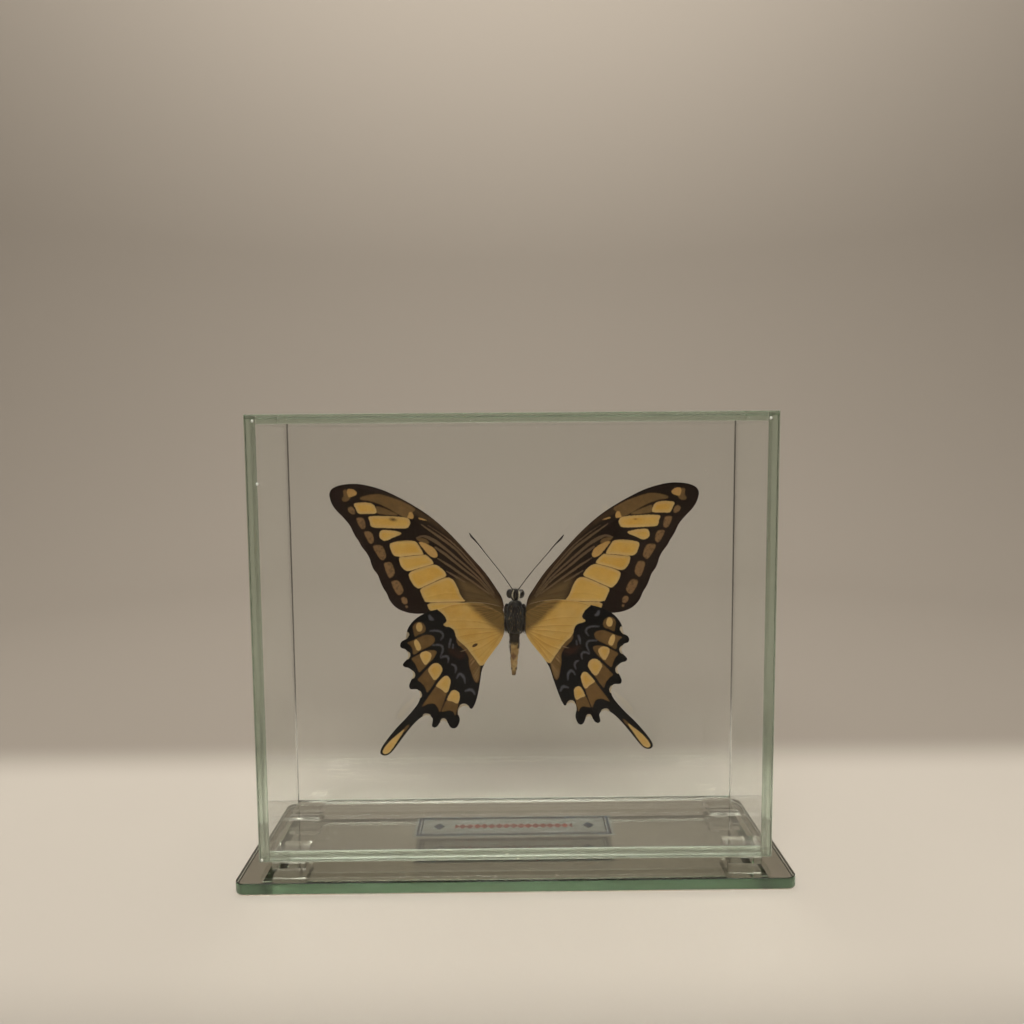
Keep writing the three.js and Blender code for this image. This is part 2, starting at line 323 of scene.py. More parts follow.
# %% [markdown]
# ## The label
#
# The label is clear film, stuck under the bottom pane and seen through it. It has a double border
# in dark blue. The name that such a label carries is left open here: a row of lozenges in rust
# red runs where it would be written, and a dark lozenge stands at each end. All of it is worked
# out from distances on the film, so the print is as sharp as the view.

# %% Label film
label_low, label_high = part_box("label")
label_middle = (label_low + label_high) / 2
LABEL_HALF = ((label_high.x - label_low.x) / 2 / MM, (label_high.y - label_low.y) / 2 / MM)
BLUE_INK = paint(0.002, 0.011, 0.030)
RED_INK = paint(0.160, 0.017, 0.010)
ROW_PITCH = 2.6
ROW_HALF = 1.75
ROW_REACH = 20.8
STOP_AT = 26.5
STOP_HALF = 2.3
END_LINES = ((1.55, 0.46), (2.7, 0.24))
SIDE_LINES = ((1.15, 0.38), (1.95, 0.18))
PRINT_SOFT = 0.08
MILKINESS = 0.30

def label_finish():
    """Clear film with its print. Sizes are in millimetres: a line is its centre and half width."""
    finish = Finish("label_film")
    along, across, _ = finish.axes(label_middle)
    from_end = LABEL_HALF[0] - along.size()
    from_side = LABEL_HALF[1] - across.size()

    def within(distance, reach):
        return 1.0 - distance.step(reach - PRINT_SOFT, reach + PRINT_SOFT)

    def lines(distance, pairs):
        drawn = [within((distance - centre).size(), half_width) for centre, half_width in pairs]
        return drawn[0].top(drawn[1])

    inside = from_end.step(1.0, 1.2) * from_side.step(0.7, 0.9)
    ends = lines(from_end, END_LINES) * from_side.step(0.8, 1.0)
    sides = lines(from_side, SIDE_LINES) * from_end.step(1.2, 1.4)
    border = ends.top(sides)
    cell = along.maths("WRAP", ROW_PITCH / 2, -ROW_PITCH / 2)
    row = within(cell.size() * 1.25 + across.size(), ROW_HALF) * within(along.size(), ROW_REACH)
    stop = within((along.size() - STOP_AT).size() * 1.1 + across.size(), STOP_HALF)
    printed = border.top(row).top(stop) * inside.top(border)
    worn = printed * finish.cloud(900.0, 2.0).step(0.20, 0.36)
    ink = finish.principled(
        Base_Color=finish.blend(BLUE_INK, RED_INK, row), Roughness=0.5, Specular_IOR_Level=0.05,
    )
    clear = finish.principled(
        Base_Color=paint(0.93, 0.96, 0.97), Roughness=0.12, IOR=1.45, Transmission_Weight=1.0,
    )
    milk = finish.principled(Base_Color=paint(0.22, 0.27, 0.27), Roughness=0.4)
    finish.show(finish.mixed(finish.mixed(clear, milk, MILKINESS), ink, worn))
    return finish.material

dress("label", label_finish())
print("label dressed")

# %% [markdown]
# ## The wings: one sheet each
#
# A butterfly's wing is a flat film of two skins held open by a fan of stiff veins, and its
# colours are tiny scales. The solid has the true outline, so each wing starts from a copy of its
# solid's front face. That face is cut by a fine grid of planes, about four cuts to a millimetre,
# because the pattern is stored on the sheet's own points. Cutting one strip at a time keeps this
# quick: only the part beyond the last cut has to be cut again.

# %% Wing sheets
GRID = 0.25 * MM
SHEET = 0.14 * MM
grid = GRID

def to_wing(side):
    """From the frame to the wing's own flat plane, with the thorax in the middle."""
    return Matrix.Rotation(-side * WING_SET, 4, "Z") @ Matrix.Translation(-insect)

def cut_up(sheet, axis):
    """Bisects flat faces at even stations along an axis, from low to high."""
    places = [v.co[axis] for v in sheet.verts]
    normal = Vector((axis == 0, 0.0, axis == 2))
    rest = sheet.faces[:]
    station = math.ceil(min(places) / grid) * grid
    while station < max(places):
        edges = {e for f in rest for e in f.edges}
        verts = {v for f in rest for v in f.verts}
        cut = bmesh.ops.bisect_plane(
            sheet, geom=[*verts, *edges, *rest], dist=1e-7,
            plane_co=normal * station, plane_no=normal,
        )
        faces = [f for f in cut["geom"] if isinstance(f, bmesh.types.BMFace)]
        rest = [f for f in faces if f.calc_center_median()[axis] > station]
        station += grid

def wing_sheet(node, side):
    """The front face of a wing's solid, cut up in the wing's own plane, and its depth there."""
    sheet = bmesh.new()
    sheet.from_mesh(nodes[node].data)
    bmesh.ops.remove_doubles(sheet, verts=sheet.verts, dist=1e-6)
    sheet.transform(to_wing(side))
    sheet.normal_update()
    bmesh.ops.delete(sheet, geom=[f for f in sheet.faces if f.normal.y > -0.9], context="FACES")
    bmesh.ops.dissolve_faces(sheet, faces=sheet.faces[:])
    face_y = sheet.faces[:][0].verts[0].co.y
    cut_up(sheet, 0)
    cut_up(sheet, 2)
    return sheet, face_y

print("grid on the wings:", round(grid / MM, 2), "mm")

# %% [markdown]
# ## Reading the pattern as distances
#
# Each coloured patch is an outline in millimetres on the wing: how far out from the body, and how
# far above the middle of the thorax. For every point of the sheet we work out how deep it lies
# inside the nearest patch of a colour. The depth passes through nought at the patch's edge, so
# the shader finds a crisp edge between the points, and can fray it or soften it as the scales do.

# %% Distances
FAR = 6.0
CORNER_CUT = 0.22

def between(start, end, cut):
    """Two points on every stretch, each a share of its length away from one of its ends."""
    pairs = np.stack([(1.0 - cut) * start + cut * end, cut * start + (1.0 - cut) * end], 1)
    return pairs.reshape(-1, start.shape[1])

def rounded(outline):
    """Cuts the corners off a closed outline."""
    points = np.array(outline, float)
    return between(points, np.roll(points, -1, axis=0), CORNER_CUT)

def smooth_line(line, times=2):
    """Rounds an open line, as many times as asked, and keeps its two ends."""
    points = np.array(line, float)
    for _ in range(times):
        middle = between(points[:-1], points[1:], 0.25)
        points = np.vstack([points[:1], middle, points[-1:]])
    return points

def distance_to_line(u, v, start, end):
    """Distance to one straight stretch, and how far along it the nearest place is."""
    du, dv = end[0] - start[0], end[1] - start[1]
    run = (u - start[0]) * du + (v - start[1]) * dv
    along = np.clip(run / (du * du + dv * dv + 1e-12), 0.0, 1.0)
    return np.hypot(u - start[0] - along * du, v - start[1] - along * dv), along

def depth_inside(outline, u, v):
    """Depth inside a closed outline in millimetres, less than nought outside it."""
    points = rounded(outline)
    depth = np.full(u.shape, -FAR)
    low, high = points.min(0) - FAR, points.max(0) + FAR
    near = (u > low[0]) & (u < high[0]) & (v > low[1]) & (v < high[1])
    un, vn = u[near], v[near]
    nearest = np.full(un.shape, FAR)
    inside = np.zeros(un.shape, bool)
    for start, end in zip(points, np.roll(points, -1, axis=0)):
        nearest = np.minimum(nearest, distance_to_line(un, vn, start, end)[0])
        if start[1] != end[1]:
            crossing = start[0] + (vn - start[1]) * (end[0] - start[0]) / (end[1] - start[1])
            inside ^= ((start[1] > vn) != (end[1] > vn)) & (un < crossing)
    depth[near] = np.where(inside, nearest, -nearest)
    return depth

def deepest(outlines, u, v):
    """Depth inside the nearest of several outlines."""
    depth = np.full(u.shape, -FAR)
    for outline in outlines:
        depth = np.maximum(depth, depth_inside(outline, u, v))
    return depth

def along_lines(routes, u, v):
    """How far inside the nearest line each point lies. Lines are (out, up, half width) points."""
    depth = np.full(u.shape, -FAR)
    for route in routes:
        points = smooth_line(route)
        for start, end in zip(points[:-1], points[1:]):
            distance, along = distance_to_line(u, v, start, end)
            depth = np.maximum(depth, start[2] + (end[2] - start[2]) * along - distance)
    return depth

print("distances are ready")

# %% [markdown]
# ## The forewing's pattern
#
# The ground is brown-black. A band of large yellow cells crosses the wing, three yellow bars
# follow it towards the tip, tan fills the space above them, and a row of small tan spots runs
# along the edge. The front part of the wing is streaked with pale lines between the veins.

# %% Forewing markings
FORE_YELLOW = [
    [(48.1, 36.6), (48.0, 37.6), (48.7, 39.3), (49.8, 40.1), (52, 40.4), (55, 40.2), (55.8, 39.8),
     (55.2, 38.6), (54.6, 37.2), (54.0, 36.5), (51, 36.6)],
    [(36.5, 33.9), (36.9, 34.8), (38.5, 35.1), (42, 35.4), (47, 35.6), (50.0, 35.5), (50.8, 35.2),
     (50.2, 33.8), (50.1, 32.6), (49.5, 31.8), (46, 31.6), (40, 31.4), (37.3, 31.5), (36.7, 32.3),
     (36.3, 33.2)],
    [(39.3, 29.7), (42, 30.4), (45.5, 30.7), (46.6, 30.4), (47.1, 29.2), (46.8, 27.9),
     (45.5, 27.1), (44.2, 27.3), (42, 28.4), (40.2, 29.0)],
    [(34.4, 26.6), (36.5, 26.9), (40, 26.8), (43.2, 26.1), (43.5, 25.2), (43.0, 23.5),
     (42.3, 22.1), (41.2, 21.5), (38, 21.7), (34.5, 22.1), (31.9, 22.1), (32.3, 23.3),
     (33.4, 25.2)],
    [(31.3, 22.0), (34, 21.7), (37, 21.3), (40.0, 21.3), (40.3, 20.3), (39.7, 18.2), (38.5, 16.8),
     (37.2, 16.3), (34, 17.3), (30.5, 18.3), (28.3, 18.8), (28.8, 19.8), (30.3, 21.4)],
    [(28.2, 18.4), (31, 17.9), (34.5, 16.7), (36.3, 15.9), (37.0, 15.0), (36.6, 13.6),
     (35.6, 11.7), (34.2, 10.3), (33.2, 10.3), (30, 11.8), (26.5, 13.4), (23.9, 14.5),
     (24.4, 15.8), (25.7, 17.2), (27.2, 18.2)],
    [(23.4, 14.1), (21.4, 12.9), (20.2, 10.5), (19.3, 8.0), (18.2, 6.3), (17.4, 5.6), (20, 5.5),
     (25, 5.4), (31.3, 5.3), (31.7, 6.2), (32.4, 7.6), (33.1, 9.3), (32.6, 10.1), (30, 11.3),
     (26.5, 12.9)],
    [(15.0, 3.6), (19, 5.1), (25, 5.2), (30.8, 4.7), (30.0, 2.6), (29.0, 2.2), (26, 2.0),
     (20, 2.2)],
]
FORE_PALE = [
    [(54.5, 43.7), (55.5, 44.9), (56.8, 45.2), (58.0, 45.1), (58.2, 43.8), (57.6, 42.2),
     (56.6, 42.4), (55.2, 42.9)],
    [(35.2, 34.6), (35.0, 35.8), (35.6, 37.0), (36.5, 37.0), (36.9, 35.9), (37.3, 35.0),
     (36.2, 34.7)],
    [(26.8, 22.2), (27.6, 23.9), (29.5, 25.3), (32.3, 26.6), (33.5, 26.4), (32.5, 25.0),
     (31, 23.1), (29.6, 21.6), (28, 20.8), (27.0, 21.2)],
    [(30.2, 33.9), (31.4, 34.6), (33.4, 35.1), (33.2, 34.5), (31.6, 34.1)],
]
FORE_TAN = [
    [(34, 38.0), (37, 39.8), (40, 41.2), (44, 42.6), (47, 43.4), (50, 43.2), (53.5, 42.3),
     (53.6, 41.6), (53, 41.3), (50, 40.9), (47, 39.9), (43.5, 38.2), (41, 36.6), (38.5, 35.3),
     (36.8, 34.8), (35.6, 36.6)],
    [(40.5, 36.3), (44, 37.9), (47.9, 39.4), (48.2, 37.9), (47.9, 36.5), (44, 36.0),
     (40.7, 35.8)],
    [(58.3, 45.1), (59.6, 44.7), (59.3, 43.5), (59.4, 42.5), (60.1, 41.8), (59.8, 41.0),
     (58.7, 40.7), (57.6, 41.2), (56.8, 42.2), (57.8, 43.6)],
    [(34.3, 27.7), (32.4, 28.0), (30.6, 27.4), (29.6, 26.2), (30.6, 25.6), (33.4, 26.8)],
]
FORE_SPOTS = [
    [(55.4, 36.5), (55.7, 38.2), (56.8, 39.1), (58.0, 38.5), (57.8, 37.3), (56.4, 36.2)],
    [(52.0, 31.4), (51.9, 33.2), (52.6, 35.1), (54.9, 35.2), (55.0, 34.2), (53.9, 31.7),
     (53.0, 31.1)],
    [(49.0, 26.8), (49.3, 28.9), (50.2, 30.3), (52.6, 30.3), (52.1, 28.7), (50.9, 26.5),
     (50.0, 25.8)],
    [(44.8, 21.2), (45.3, 23.6), (46.4, 25.5), (49.5, 25.4), (49.0, 23.6), (47.2, 20.8),
     (46.2, 20.0)],
    [(41.9, 15.3), (42.3, 17.7), (43.4, 19.6), (45.7, 19.2), (45.5, 17.3), (44.4, 14.4),
     (43.6, 13.7)],
    [(38.9, 9.2), (39.6, 11.2), (40.9, 13.1), (43.3, 12.7), (43.0, 11.1), (41.4, 8.1),
     (40.3, 7.7)],
    [(37.7, 4.8), (37.8, 6.4), (38.8, 7.2), (40.0, 6.7), (39.7, 5.2), (38.7, 4.5)],
    [(37.5, 3.6), (37.9, 4.2), (38.5, 3.9), (38.3, 3.3), (37.8, 3.2)],
]
FORE_DUST = [
    [(3.5, 1.5), (4.2, 4.8), (6.0, 6.6), (9.0, 8.4), (12.0, 10.2), (15.0, 11.8), (18.0, 13.2),
     (20.2, 14.0), (19.8, 11.8), (18.6, 8.8), (17.6, 5.6), (17.0, 3.4), (8, 1.0)],
]
FORE_STREAKS = [
    [(32.4, 32.7, 0.16), (30, 30.9, 0.26), (27.2, 29.0, 0.38), (25, 27.4, 0.44),
     (22.2, 25.3, 0.42), (20, 23.5, 0.38), (17.2, 20.3, 0.34), (15, 18.0, 0.30),
     (12.1, 15.1, 0.24), (9.3, 11.0, 0.18), (6.8, 7.6, 0.10)],
    [(34.0, 27.9, 0.30), (32.2, 28.6, 0.34), (30.6, 28.3, 0.52), (28.4, 27.2, 0.66),
     (26.2, 25.8, 0.54), (23.4, 23.6, 0.44), (20, 20.6, 0.38), (17.2, 18.2, 0.32),
     (15, 16.2, 0.30), (12.5, 13.9, 0.24), (9.4, 10.2, 0.18), (7.0, 7.2, 0.08)],
    [(27.6, 24.6, 0.30), (25.6, 23.2, 0.46), (23.4, 21.6, 0.46), (20, 18.7, 0.40),
     (17.2, 16.4, 0.36), (15, 14.8, 0.32), (12.5, 12.8, 0.26), (9.6, 9.6, 0.20),
     (7.2, 6.9, 0.08)],
    [(26.8, 20.7, 0.16), (25.0, 19.5, 0.32), (22.4, 17.9, 0.42), (20, 16.1, 0.42),
     (17.2, 14.2, 0.38), (15, 12.6, 0.34), (12, 10.4, 0.28), (9.0, 8.2, 0.18)],
    [(23.8, 16.2, 0.16), (21.6, 14.9, 0.34), (19.6, 13.6, 0.34), (17.4, 12.4, 0.20)],
    [(30.0, 32.3, 0.06), (25, 29.0, 0.20), (20, 24.9, 0.24), (15, 19.3, 0.22), (10, 12.9, 0.14),
     (7, 8.4, 0.04)],
]
FORE_EDGE_BAND = [
    [(42.0, 40.9, 0.3), (38.0, 39.0, 0.7), (34.0, 36.9, 0.9), (30, 34.6, 0.9), (25, 31.3, 0.9),
     (20, 26.9, 0.9), (15, 21.2, 0.8), (10, 14.9, 0.5), (6, 8.2, 0.1)],
]
print("forewing patches:", len(FORE_YELLOW) + len(FORE_PALE) + len(FORE_TAN) + len(FORE_SPOTS))

# %% [markdown]
# ## The hindwing's pattern
#
# The inner half is bright yellow. Beyond it a black band carries broken crescents of blue-grey
# scales, with a patch of dull red towards the inner margin, and then come six cells that are part
# yellow and part tan. The edge is black and scalloped, with cream in its notches, and the tail
# ends in a yellow club.

# %% Hindwing markings
HIND_YELLOW = [
    [(3.7, 0.6), (8, 3.2), (12, 5.2), (17, 6.4), (22, 5.8), (27.4, 3.4), (26.6, 2.4), (25.8, 1.9),
     (24.9, 1.0), (24.1, -0.2), (23.8, -1.2), (24.2, -2.0), (25.2, -2.7), (24.2, -3.2),
     (22.7, -3.4), (21.6, -4.1), (21.0, -5.2), (20.7, -6.8), (19.8, -8.2), (17.9, -9.8),
     (16.8, -11.0), (15.8, -12.3), (15.0, -13.5), (14.0, -14.8), (13.0, -16.4), (12, -17.4),
     (10.0, -15.9), (7.2, -12.4), (4.9, -9.0), (3.4, -6.5), (3.2, -3.0)],
    [(32.6, -3.4), (33.0, -2.2), (33.7, -1.9), (34.4, -2.4), (34.7, -3.6), (34.2, -4.9),
     (33.3, -5.0), (32.7, -4.4)],
    [(34.6, -8), (33.6, -9.5), (33.1, -11.3), (34.4, -12), (35.3, -10), (35.4, -8.3)],
    [(29.4, -13.3), (31, -12.1), (33, -12.6), (33.5, -13.7), (32.5, -16.0), (31.6, -17.1),
     (30.1, -15.3)],
    [(25.7, -18.8), (26.3, -17.2), (27.7, -16.4), (29.3, -16.9), (30.8, -18.8), (29.8, -20.8),
     (28.5, -22.7), (26.7, -20.8)],
    [(22.9, -22.8), (23.6, -21.3), (24.6, -21), (25.9, -21.9), (27.5, -23.9), (28, -24.6),
     (27, -25.2), (25.8, -25.9), (24.8, -27), (24.0, -26.6), (23.3, -24.8)],
    [(19.8, -28.5), (20, -27), (21.3, -26.2), (22.5, -26.4), (23.5, -28), (24.2, -29.8),
     (22.5, -30), (20.7, -31), (20.1, -30.2)],
    [(39.6, -40.4), (42, -42.3), (44.5, -44.5), (46.7, -47.1), (47.4, -48.6), (47.1, -49.2),
     (46.2, -49.3), (45.0, -48.6), (43.2, -46.1), (41.4, -43.3), (40.0, -41.2)],
]
HIND_TAN = [
    [(31.2, -4.1), (31.9, -2.4), (33.4, -1.5), (35.0, -2.0), (36.0, -3.4), (35.6, -5.6),
     (35.3, -7.0), (33.5, -6.0), (31.8, -5.4)],
    [(28.1, -7.5), (29, -6.5), (31.5, -6.2), (34, -7.3), (36, -8.3), (38.2, -9.0), (37, -9.9),
     (36.2, -11), (36, -13), (35.5, -13.4), (34, -12.3), (31.5, -11), (29.5, -10), (28.4, -8.9)],
    [(27.4, -12.3), (28.5, -11.7), (31, -11.8), (33.2, -12.8), (35, -13.8), (36.8, -14.8),
     (35.3, -16.5), (34.5, -18.5), (34.0, -19.9), (32.2, -18.2), (30.2, -16.2), (28.6, -14.6)],
    [(25.7, -18.8), (26.3, -17.2), (27.7, -16.4), (29.3, -16.9), (31, -18.3), (32.5, -20.0),
     (34, -21.7), (34.7, -22.4), (33, -23.6), (31.8, -25.2), (31.3, -27.3), (29.8, -25.4),
     (28.2, -22.8), (26.7, -20.8)],
    [(22.9, -22.8), (23.6, -21.3), (24.6, -21), (25.9, -21.9), (27.5, -23.9), (28.8, -25.7),
     (30.3, -27.8), (32, -30.2), (33.4, -32.3), (31.5, -31.3), (30, -30.9), (28.8, -31),
     (28, -31.6), (27.3, -33), (26.9, -34.2), (26, -32.2), (25.2, -30), (24.2, -27),
     (23.3, -24.8)],
    [(19.8, -28.5), (20, -27), (21.3, -26.2), (22.5, -26.4), (23.5, -28), (24.8, -30.5),
     (25.8, -32.5), (26.4, -34.0), (24.5, -33.6), (23.1, -33.4), (22, -34), (21.3, -35.5),
     (20.8, -33.5), (20.2, -31)],
    [(20.9, -7.0), (20.3, -9.6), (18.6, -11.0), (17.2, -12.6), (16.3, -14.4), (16.3, -17),
     (15.6, -19.4), (15.0, -21.4), (14.3, -22.9), (13.6, -23.6), (12.8, -22.6), (12.4, -19),
     (12.2, -17.2), (13.5, -16.0), (15, -13.6), (16.5, -11.2), (18.6, -9.2)],
    [(37.6, -38.4), (38.9, -39.2), (40.4, -40.9), (39.7, -41.4), (38.4, -40.0)],
]
HIND_BLUE = [
    [(29.9, 0.5, 0.40), (29.6, -0.5, 0.62), (28.8, -0.8, 0.40)],
    [(29.8, -4.9, 0.18), (28.0, -4.7, 0.28), (26.2, -5.0, 0.30), (25.2, -6.0, 0.28),
     (25.3, -7.0, 0.26), (26.1, -8.0, 0.12)],
    [(29.0, -9.9, 0.16), (27.2, -9.8, 0.28), (25.9, -10.0, 0.30), (25.3, -11.1, 0.30),
     (25.6, -12.4, 0.26), (26.3, -14.0, 0.10)],
    [(26.2, -14.5, 0.18), (25.2, -14.0, 0.34), (23.9, -13.9, 0.34), (23.4, -14.9, 0.28),
     (23.7, -16.2, 0.10)],
    [(22.3, -16.8, 0.20), (21.2, -17.3, 0.36), (20.8, -18.4, 0.34), (21.2, -19.8, 0.12)],
    [(20.7, -21.8, 0.15), (19.8, -20.2, 0.40), (18.6, -20.7, 0.46), (17.9, -22.0, 0.34),
     (17.8, -23.6, 0.14)],
    [(17.6, -26.4, 0.20), (16.2, -25.9, 0.44), (15.2, -26.1, 0.48), (14.4, -27.5, 0.26)],
    [(22.6, -7.9, 0.26), (23.0, -9.4, 0.34), (23.2, -10.8, 0.14)],
    [(21.8, -9.8, 0.20), (21.9, -11.0, 0.18)],
]
HIND_RED = [
    [(17.0, -12.4), (19.6, -11.4), (23.4, -11.2), (23.2, -12.8), (21.4, -14.0), (19.8, -14.8),
     (17.4, -14.6)],
]
HIND_CREAM = [
    [(37.9, -5.2), (38.1, -6.4), (38.8, -8.0), (37.9, -7.2), (37.3, -6.0)],
    [(38.2, -12.1), (37.6, -13.6), (38.2, -15.1), (37.2, -14.2), (37.1, -12.9)],
    [(36.8, -18.9), (36.0, -20.4), (36.5, -22.1), (35.6, -21.4), (35.6, -19.9)],
    [(34.9, -26.3), (33.8, -27.4), (33.7, -29.0), (33.2, -28.0), (33.6, -26.6)],
    [(33.0, -35.6), (31.5, -35.0), (30.0, -35.6), (30.8, -34.8), (32.3, -34.7)],
    [(26.8, -37.9), (25.5, -36.9), (24.2, -37.9), (24.9, -36.6), (26.1, -36.5)],
    [(16.3, -32.5), (17.5, -31.2), (19.2, -31.2), (20.3, -33.0), (20.3, -35.2), (19.3, -34.7),
     (18.2, -33.3), (17.3, -33.2)],
]
HIND_DUST = [
    [(3.0, 3.0), (5, 5.2), (9.0, 5.4), (14.0, 5.8), (17.4, 5.6), (15.8, 3.8), (14.2, 2.2),
     (11.8, 0.2), (9.7, -2.0), (7.9, -3.4), (6.1, -4.7), (4.3, -6.2), (2.8, -7.0)],
]
HIND_STREAKS = [
    [(5.6, 3.9, 0.10), (9.0, 4.9, 0.20), (14, 5.3, 0.20), (20, 5.0, 0.14), (27, 3.2, 0.04)],
    [(15.0, -10.9, 0.02), (16.4, -11.3, 0.08), (18.2, -12.0, 0.20), (19.2, -12.2, 0.06)],
]
print("hindwing patches:", len(HIND_YELLOW) + len(HIND_TAN) + len(HIND_BLUE) + len(HIND_CREAM))

# %% [markdown]
# ## The veins
#
# A wing's veins fan out from its root. They stand a little proud on both faces, and thin out
# towards the edge. These lines are used twice: they raise the sheet, and they darken it where it
# is pale.

# %% Veins
FORE_VEINS = [
    [(4.0, 4.5, 0.30), (15, 20.9, 0.26), (30, 35.6, 0.24), (45, 44.0, 0.20), (60, 46.2, 0.10)],
    [(4.2, 4.2, 0.26), (14, 17.8, 0.22), (25, 29.4, 0.20), (33, 36.9, 0.18), (45, 43.2, 0.12)],
    [(4.3, 4.2, 0.26), (15, 16.0, 0.22), (26, 26.9, 0.20), (33.8, 33.6, 0.18), (40.8, 36.4, 0.16),
     (47.9, 39.7, 0.14), (53.6, 41.1, 0.12), (63.2, 40.6, 0.08)],
    [(4.4, 3.9, 0.26), (15, 13.2, 0.24), (25, 20.1, 0.22), (29.3, 21.2, 0.20), (31.4, 22.0, 0.18),
     (34.2, 26.7, 0.18), (34.9, 30.2, 0.16), (34.9, 34.2, 0.16)],
    [(34.6, 34.4, 0.16), (40, 35.6, 0.16), (50.0, 36.1, 0.14), (55, 35.8, 0.12),
     (60.0, 36.0, 0.08)],
    [(35.0, 30.8, 0.16), (39.5, 31.0, 0.16), (47.5, 31.2, 0.14), (51.5, 30.7, 0.12),
     (57.0, 31.6, 0.08)],
    [(34.4, 27.0, 0.16), (43.5, 26.6, 0.15), (48.5, 25.8, 0.12), (54.0, 26.2, 0.08)],
    [(31.4, 22.0, 0.17), (37, 21.5, 0.16), (43.5, 20.3, 0.14), (46.0, 19.7, 0.12),
     (50.3, 19.0, 0.08)],
    [(27.6, 20.0, 0.17), (28.2, 18.6, 0.17), (34.5, 17.0, 0.16), (38.0, 15.8, 0.14),
     (43.5, 13.5, 0.12), (47.4, 13.0, 0.08)],
    [(15, 13.0, 0.20), (23.7, 14.3, 0.18), (28, 12.4, 0.17), (33.4, 10.0, 0.15),
     (40.6, 7.4, 0.12), (44.6, 7.3, 0.08)],
    [(4.3, 3.6, 0.26), (9, 5.0, 0.22), (18, 5.4, 0.20), (31.4, 5.0, 0.16), (37, 4.5, 0.12),
     (41.6, 3.3, 0.08)],
    [(18.6, 8.3, 0.08), (24, 8.4, 0.10), (28, 7.6, 0.09), (31.9, 6.6, 0.05)],
]
HIND_VEINS = [
    [(4.2, 1.2, 0.26), (12, 4.3, 0.22), (19.6, 4.6, 0.20), (25.6, 3.1, 0.18), (34.5, -0.9, 0.10)],
    [(4.3, -3.6, 0.20), (14, -1.2, 0.16), (24, -1.4, 0.14), (30.6, -0.9, 0.13),
     (37.0, -4.0, 0.08)],
    [(4.4, -4.6, 0.22), (12, -3.9, 0.18), (20.5, -4.2, 0.16), (26, -4.4, 0.14), (31, -5.6, 0.14),
     (35.2, -7.2, 0.12), (39.6, -9.6, 0.08)],
    [(4.5, -5.0, 0.22), (12, -5.7, 0.18), (20.0, -6.8, 0.16), (26.3, -9.3, 0.15),
     (30.4, -10.7, 0.15), (35.2, -13.6, 0.13), (38.8, -16.8, 0.08)],
    [(4.6, -5.4, 0.22), (12, -8.2, 0.18), (18.5, -9.8, 0.16), (24, -12.2, 0.15),
     (28.0, -15.2, 0.15), (31.6, -18.6, 0.14), (34.6, -21.6, 0.12), (37.0, -25.2, 0.08)],
    [(4.7, -5.8, 0.22), (11, -10.6, 0.18), (17.3, -13.0, 0.16), (22.4, -16.6, 0.15),
     (26.0, -21.4, 0.15), (30.6, -28.0, 0.15), (34, -32.6, 0.15), (40.0, -39.4, 0.14),
     (46.4, -47.6, 0.08)],
    [(4.8, -6.0, 0.22), (10.5, -12.2, 0.18), (15.4, -16.6, 0.16), (19.8, -22.4, 0.15),
     (22.9, -26.7, 0.15), (25.4, -31.6, 0.14), (26.9, -35.0, 0.12), (28.6, -39.0, 0.08)],
    [(4.8, -6.2, 0.22), (10.2, -13.6, 0.18), (13.8, -19.6, 0.15), (17.0, -27.0, 0.14),
     (19.6, -32.6, 0.12), (21.6, -39.0, 0.08)],
]
print("veins:", len(FORE_VEINS), "in a forewing,", len(HIND_VEINS), "in a hindwing")

# %% [markdown]
# ## From sheet to wing
#
# The flat sheet gets its two skins with the solidify operator. Then its points are moved a
# little: the veins stand out, and the dried film between them is not quite flat. The pattern's
# distances go onto the points as attributes, which both skins share.

# %% Wing settings
WINGS = {
    "forewing_left": {"side": -1, "turn": 0.0, "shift": (0.0, 0.0), "curl": 0.0},
    "forewing_right": {"side": 1, "turn": -0.3, "shift": (0.1, -0.1), "curl": 0.0},
    "hindwing_left": {"side": -1, "turn": 0.0, "shift": (0.0, 0.0), "curl": 0.0},
    "hindwing_right": {"side": 1, "turn": 1.2, "shift": (-0.45, 0.45), "curl": 1.7},
}
CURL_TOP = -14.0
CURL_REACH = 18.0
CURL_INNER = 14.0
CURL_OUTER = 28.0
LAYER = 0.3 * MM
VEIN_LIFT = 0.07 * MM
VEIN_FOOT = 0.34
WAVE = 0.055 * MM
FIRST_PHASE = 0.9
NEXT_PHASE = 1.7
BACK_FACE = 0.3

def smooth_step(x):
    x = np.clip(x, 0.0, 1.0)
    return x * x * (3.0 - 2.0 * x)

def on_the_wing(places, settings):
    """Out and up on the pattern's own sheet, in millimetres, from places in the wing's plane."""
    angle = -math.radians(settings["turn"])
    out = settings["side"] * places[:, 0] / MM - settings["shift"][0]
    up = places[:, 2] / MM - settings["shift"][1]
    u = out * math.cos(angle) - up * math.sin(angle)
    v = out * math.sin(angle) + up * math.cos(angle)
    down = smooth_step((CURL_TOP - v) / CURL_REACH)
    across = 1.0 - smooth_step((u - CURL_INNER) / (CURL_OUTER - CURL_INNER))
    return u - settings["curl"] * down * across, v

def blotch(u, v, at, half_long, half_high, slant, strength):
    """A small oval mark that belongs to one wing alone, drawn out along a slanting line."""
    along = (u - at[0]) * math.cos(slant) + (v - at[1]) * math.sin(slant)
    across = (v - at[1]) * math.cos(slant) - (u - at[0]) * math.sin(slant)
    return strength * (1.0 - np.hypot(along / half_long, across / half_high))

LEFT_BRUISE = ((42.2, 34.4), 1.8, 0.85, 0.16, 0.8)
RIGHT_DENT = ((42.1, 34.2), 0.9, 0.35, 0.0, 0.6)
LEFT_SPECK = ((14.1, -10.0), 1.30, 0.58, -0.50, 2.6)

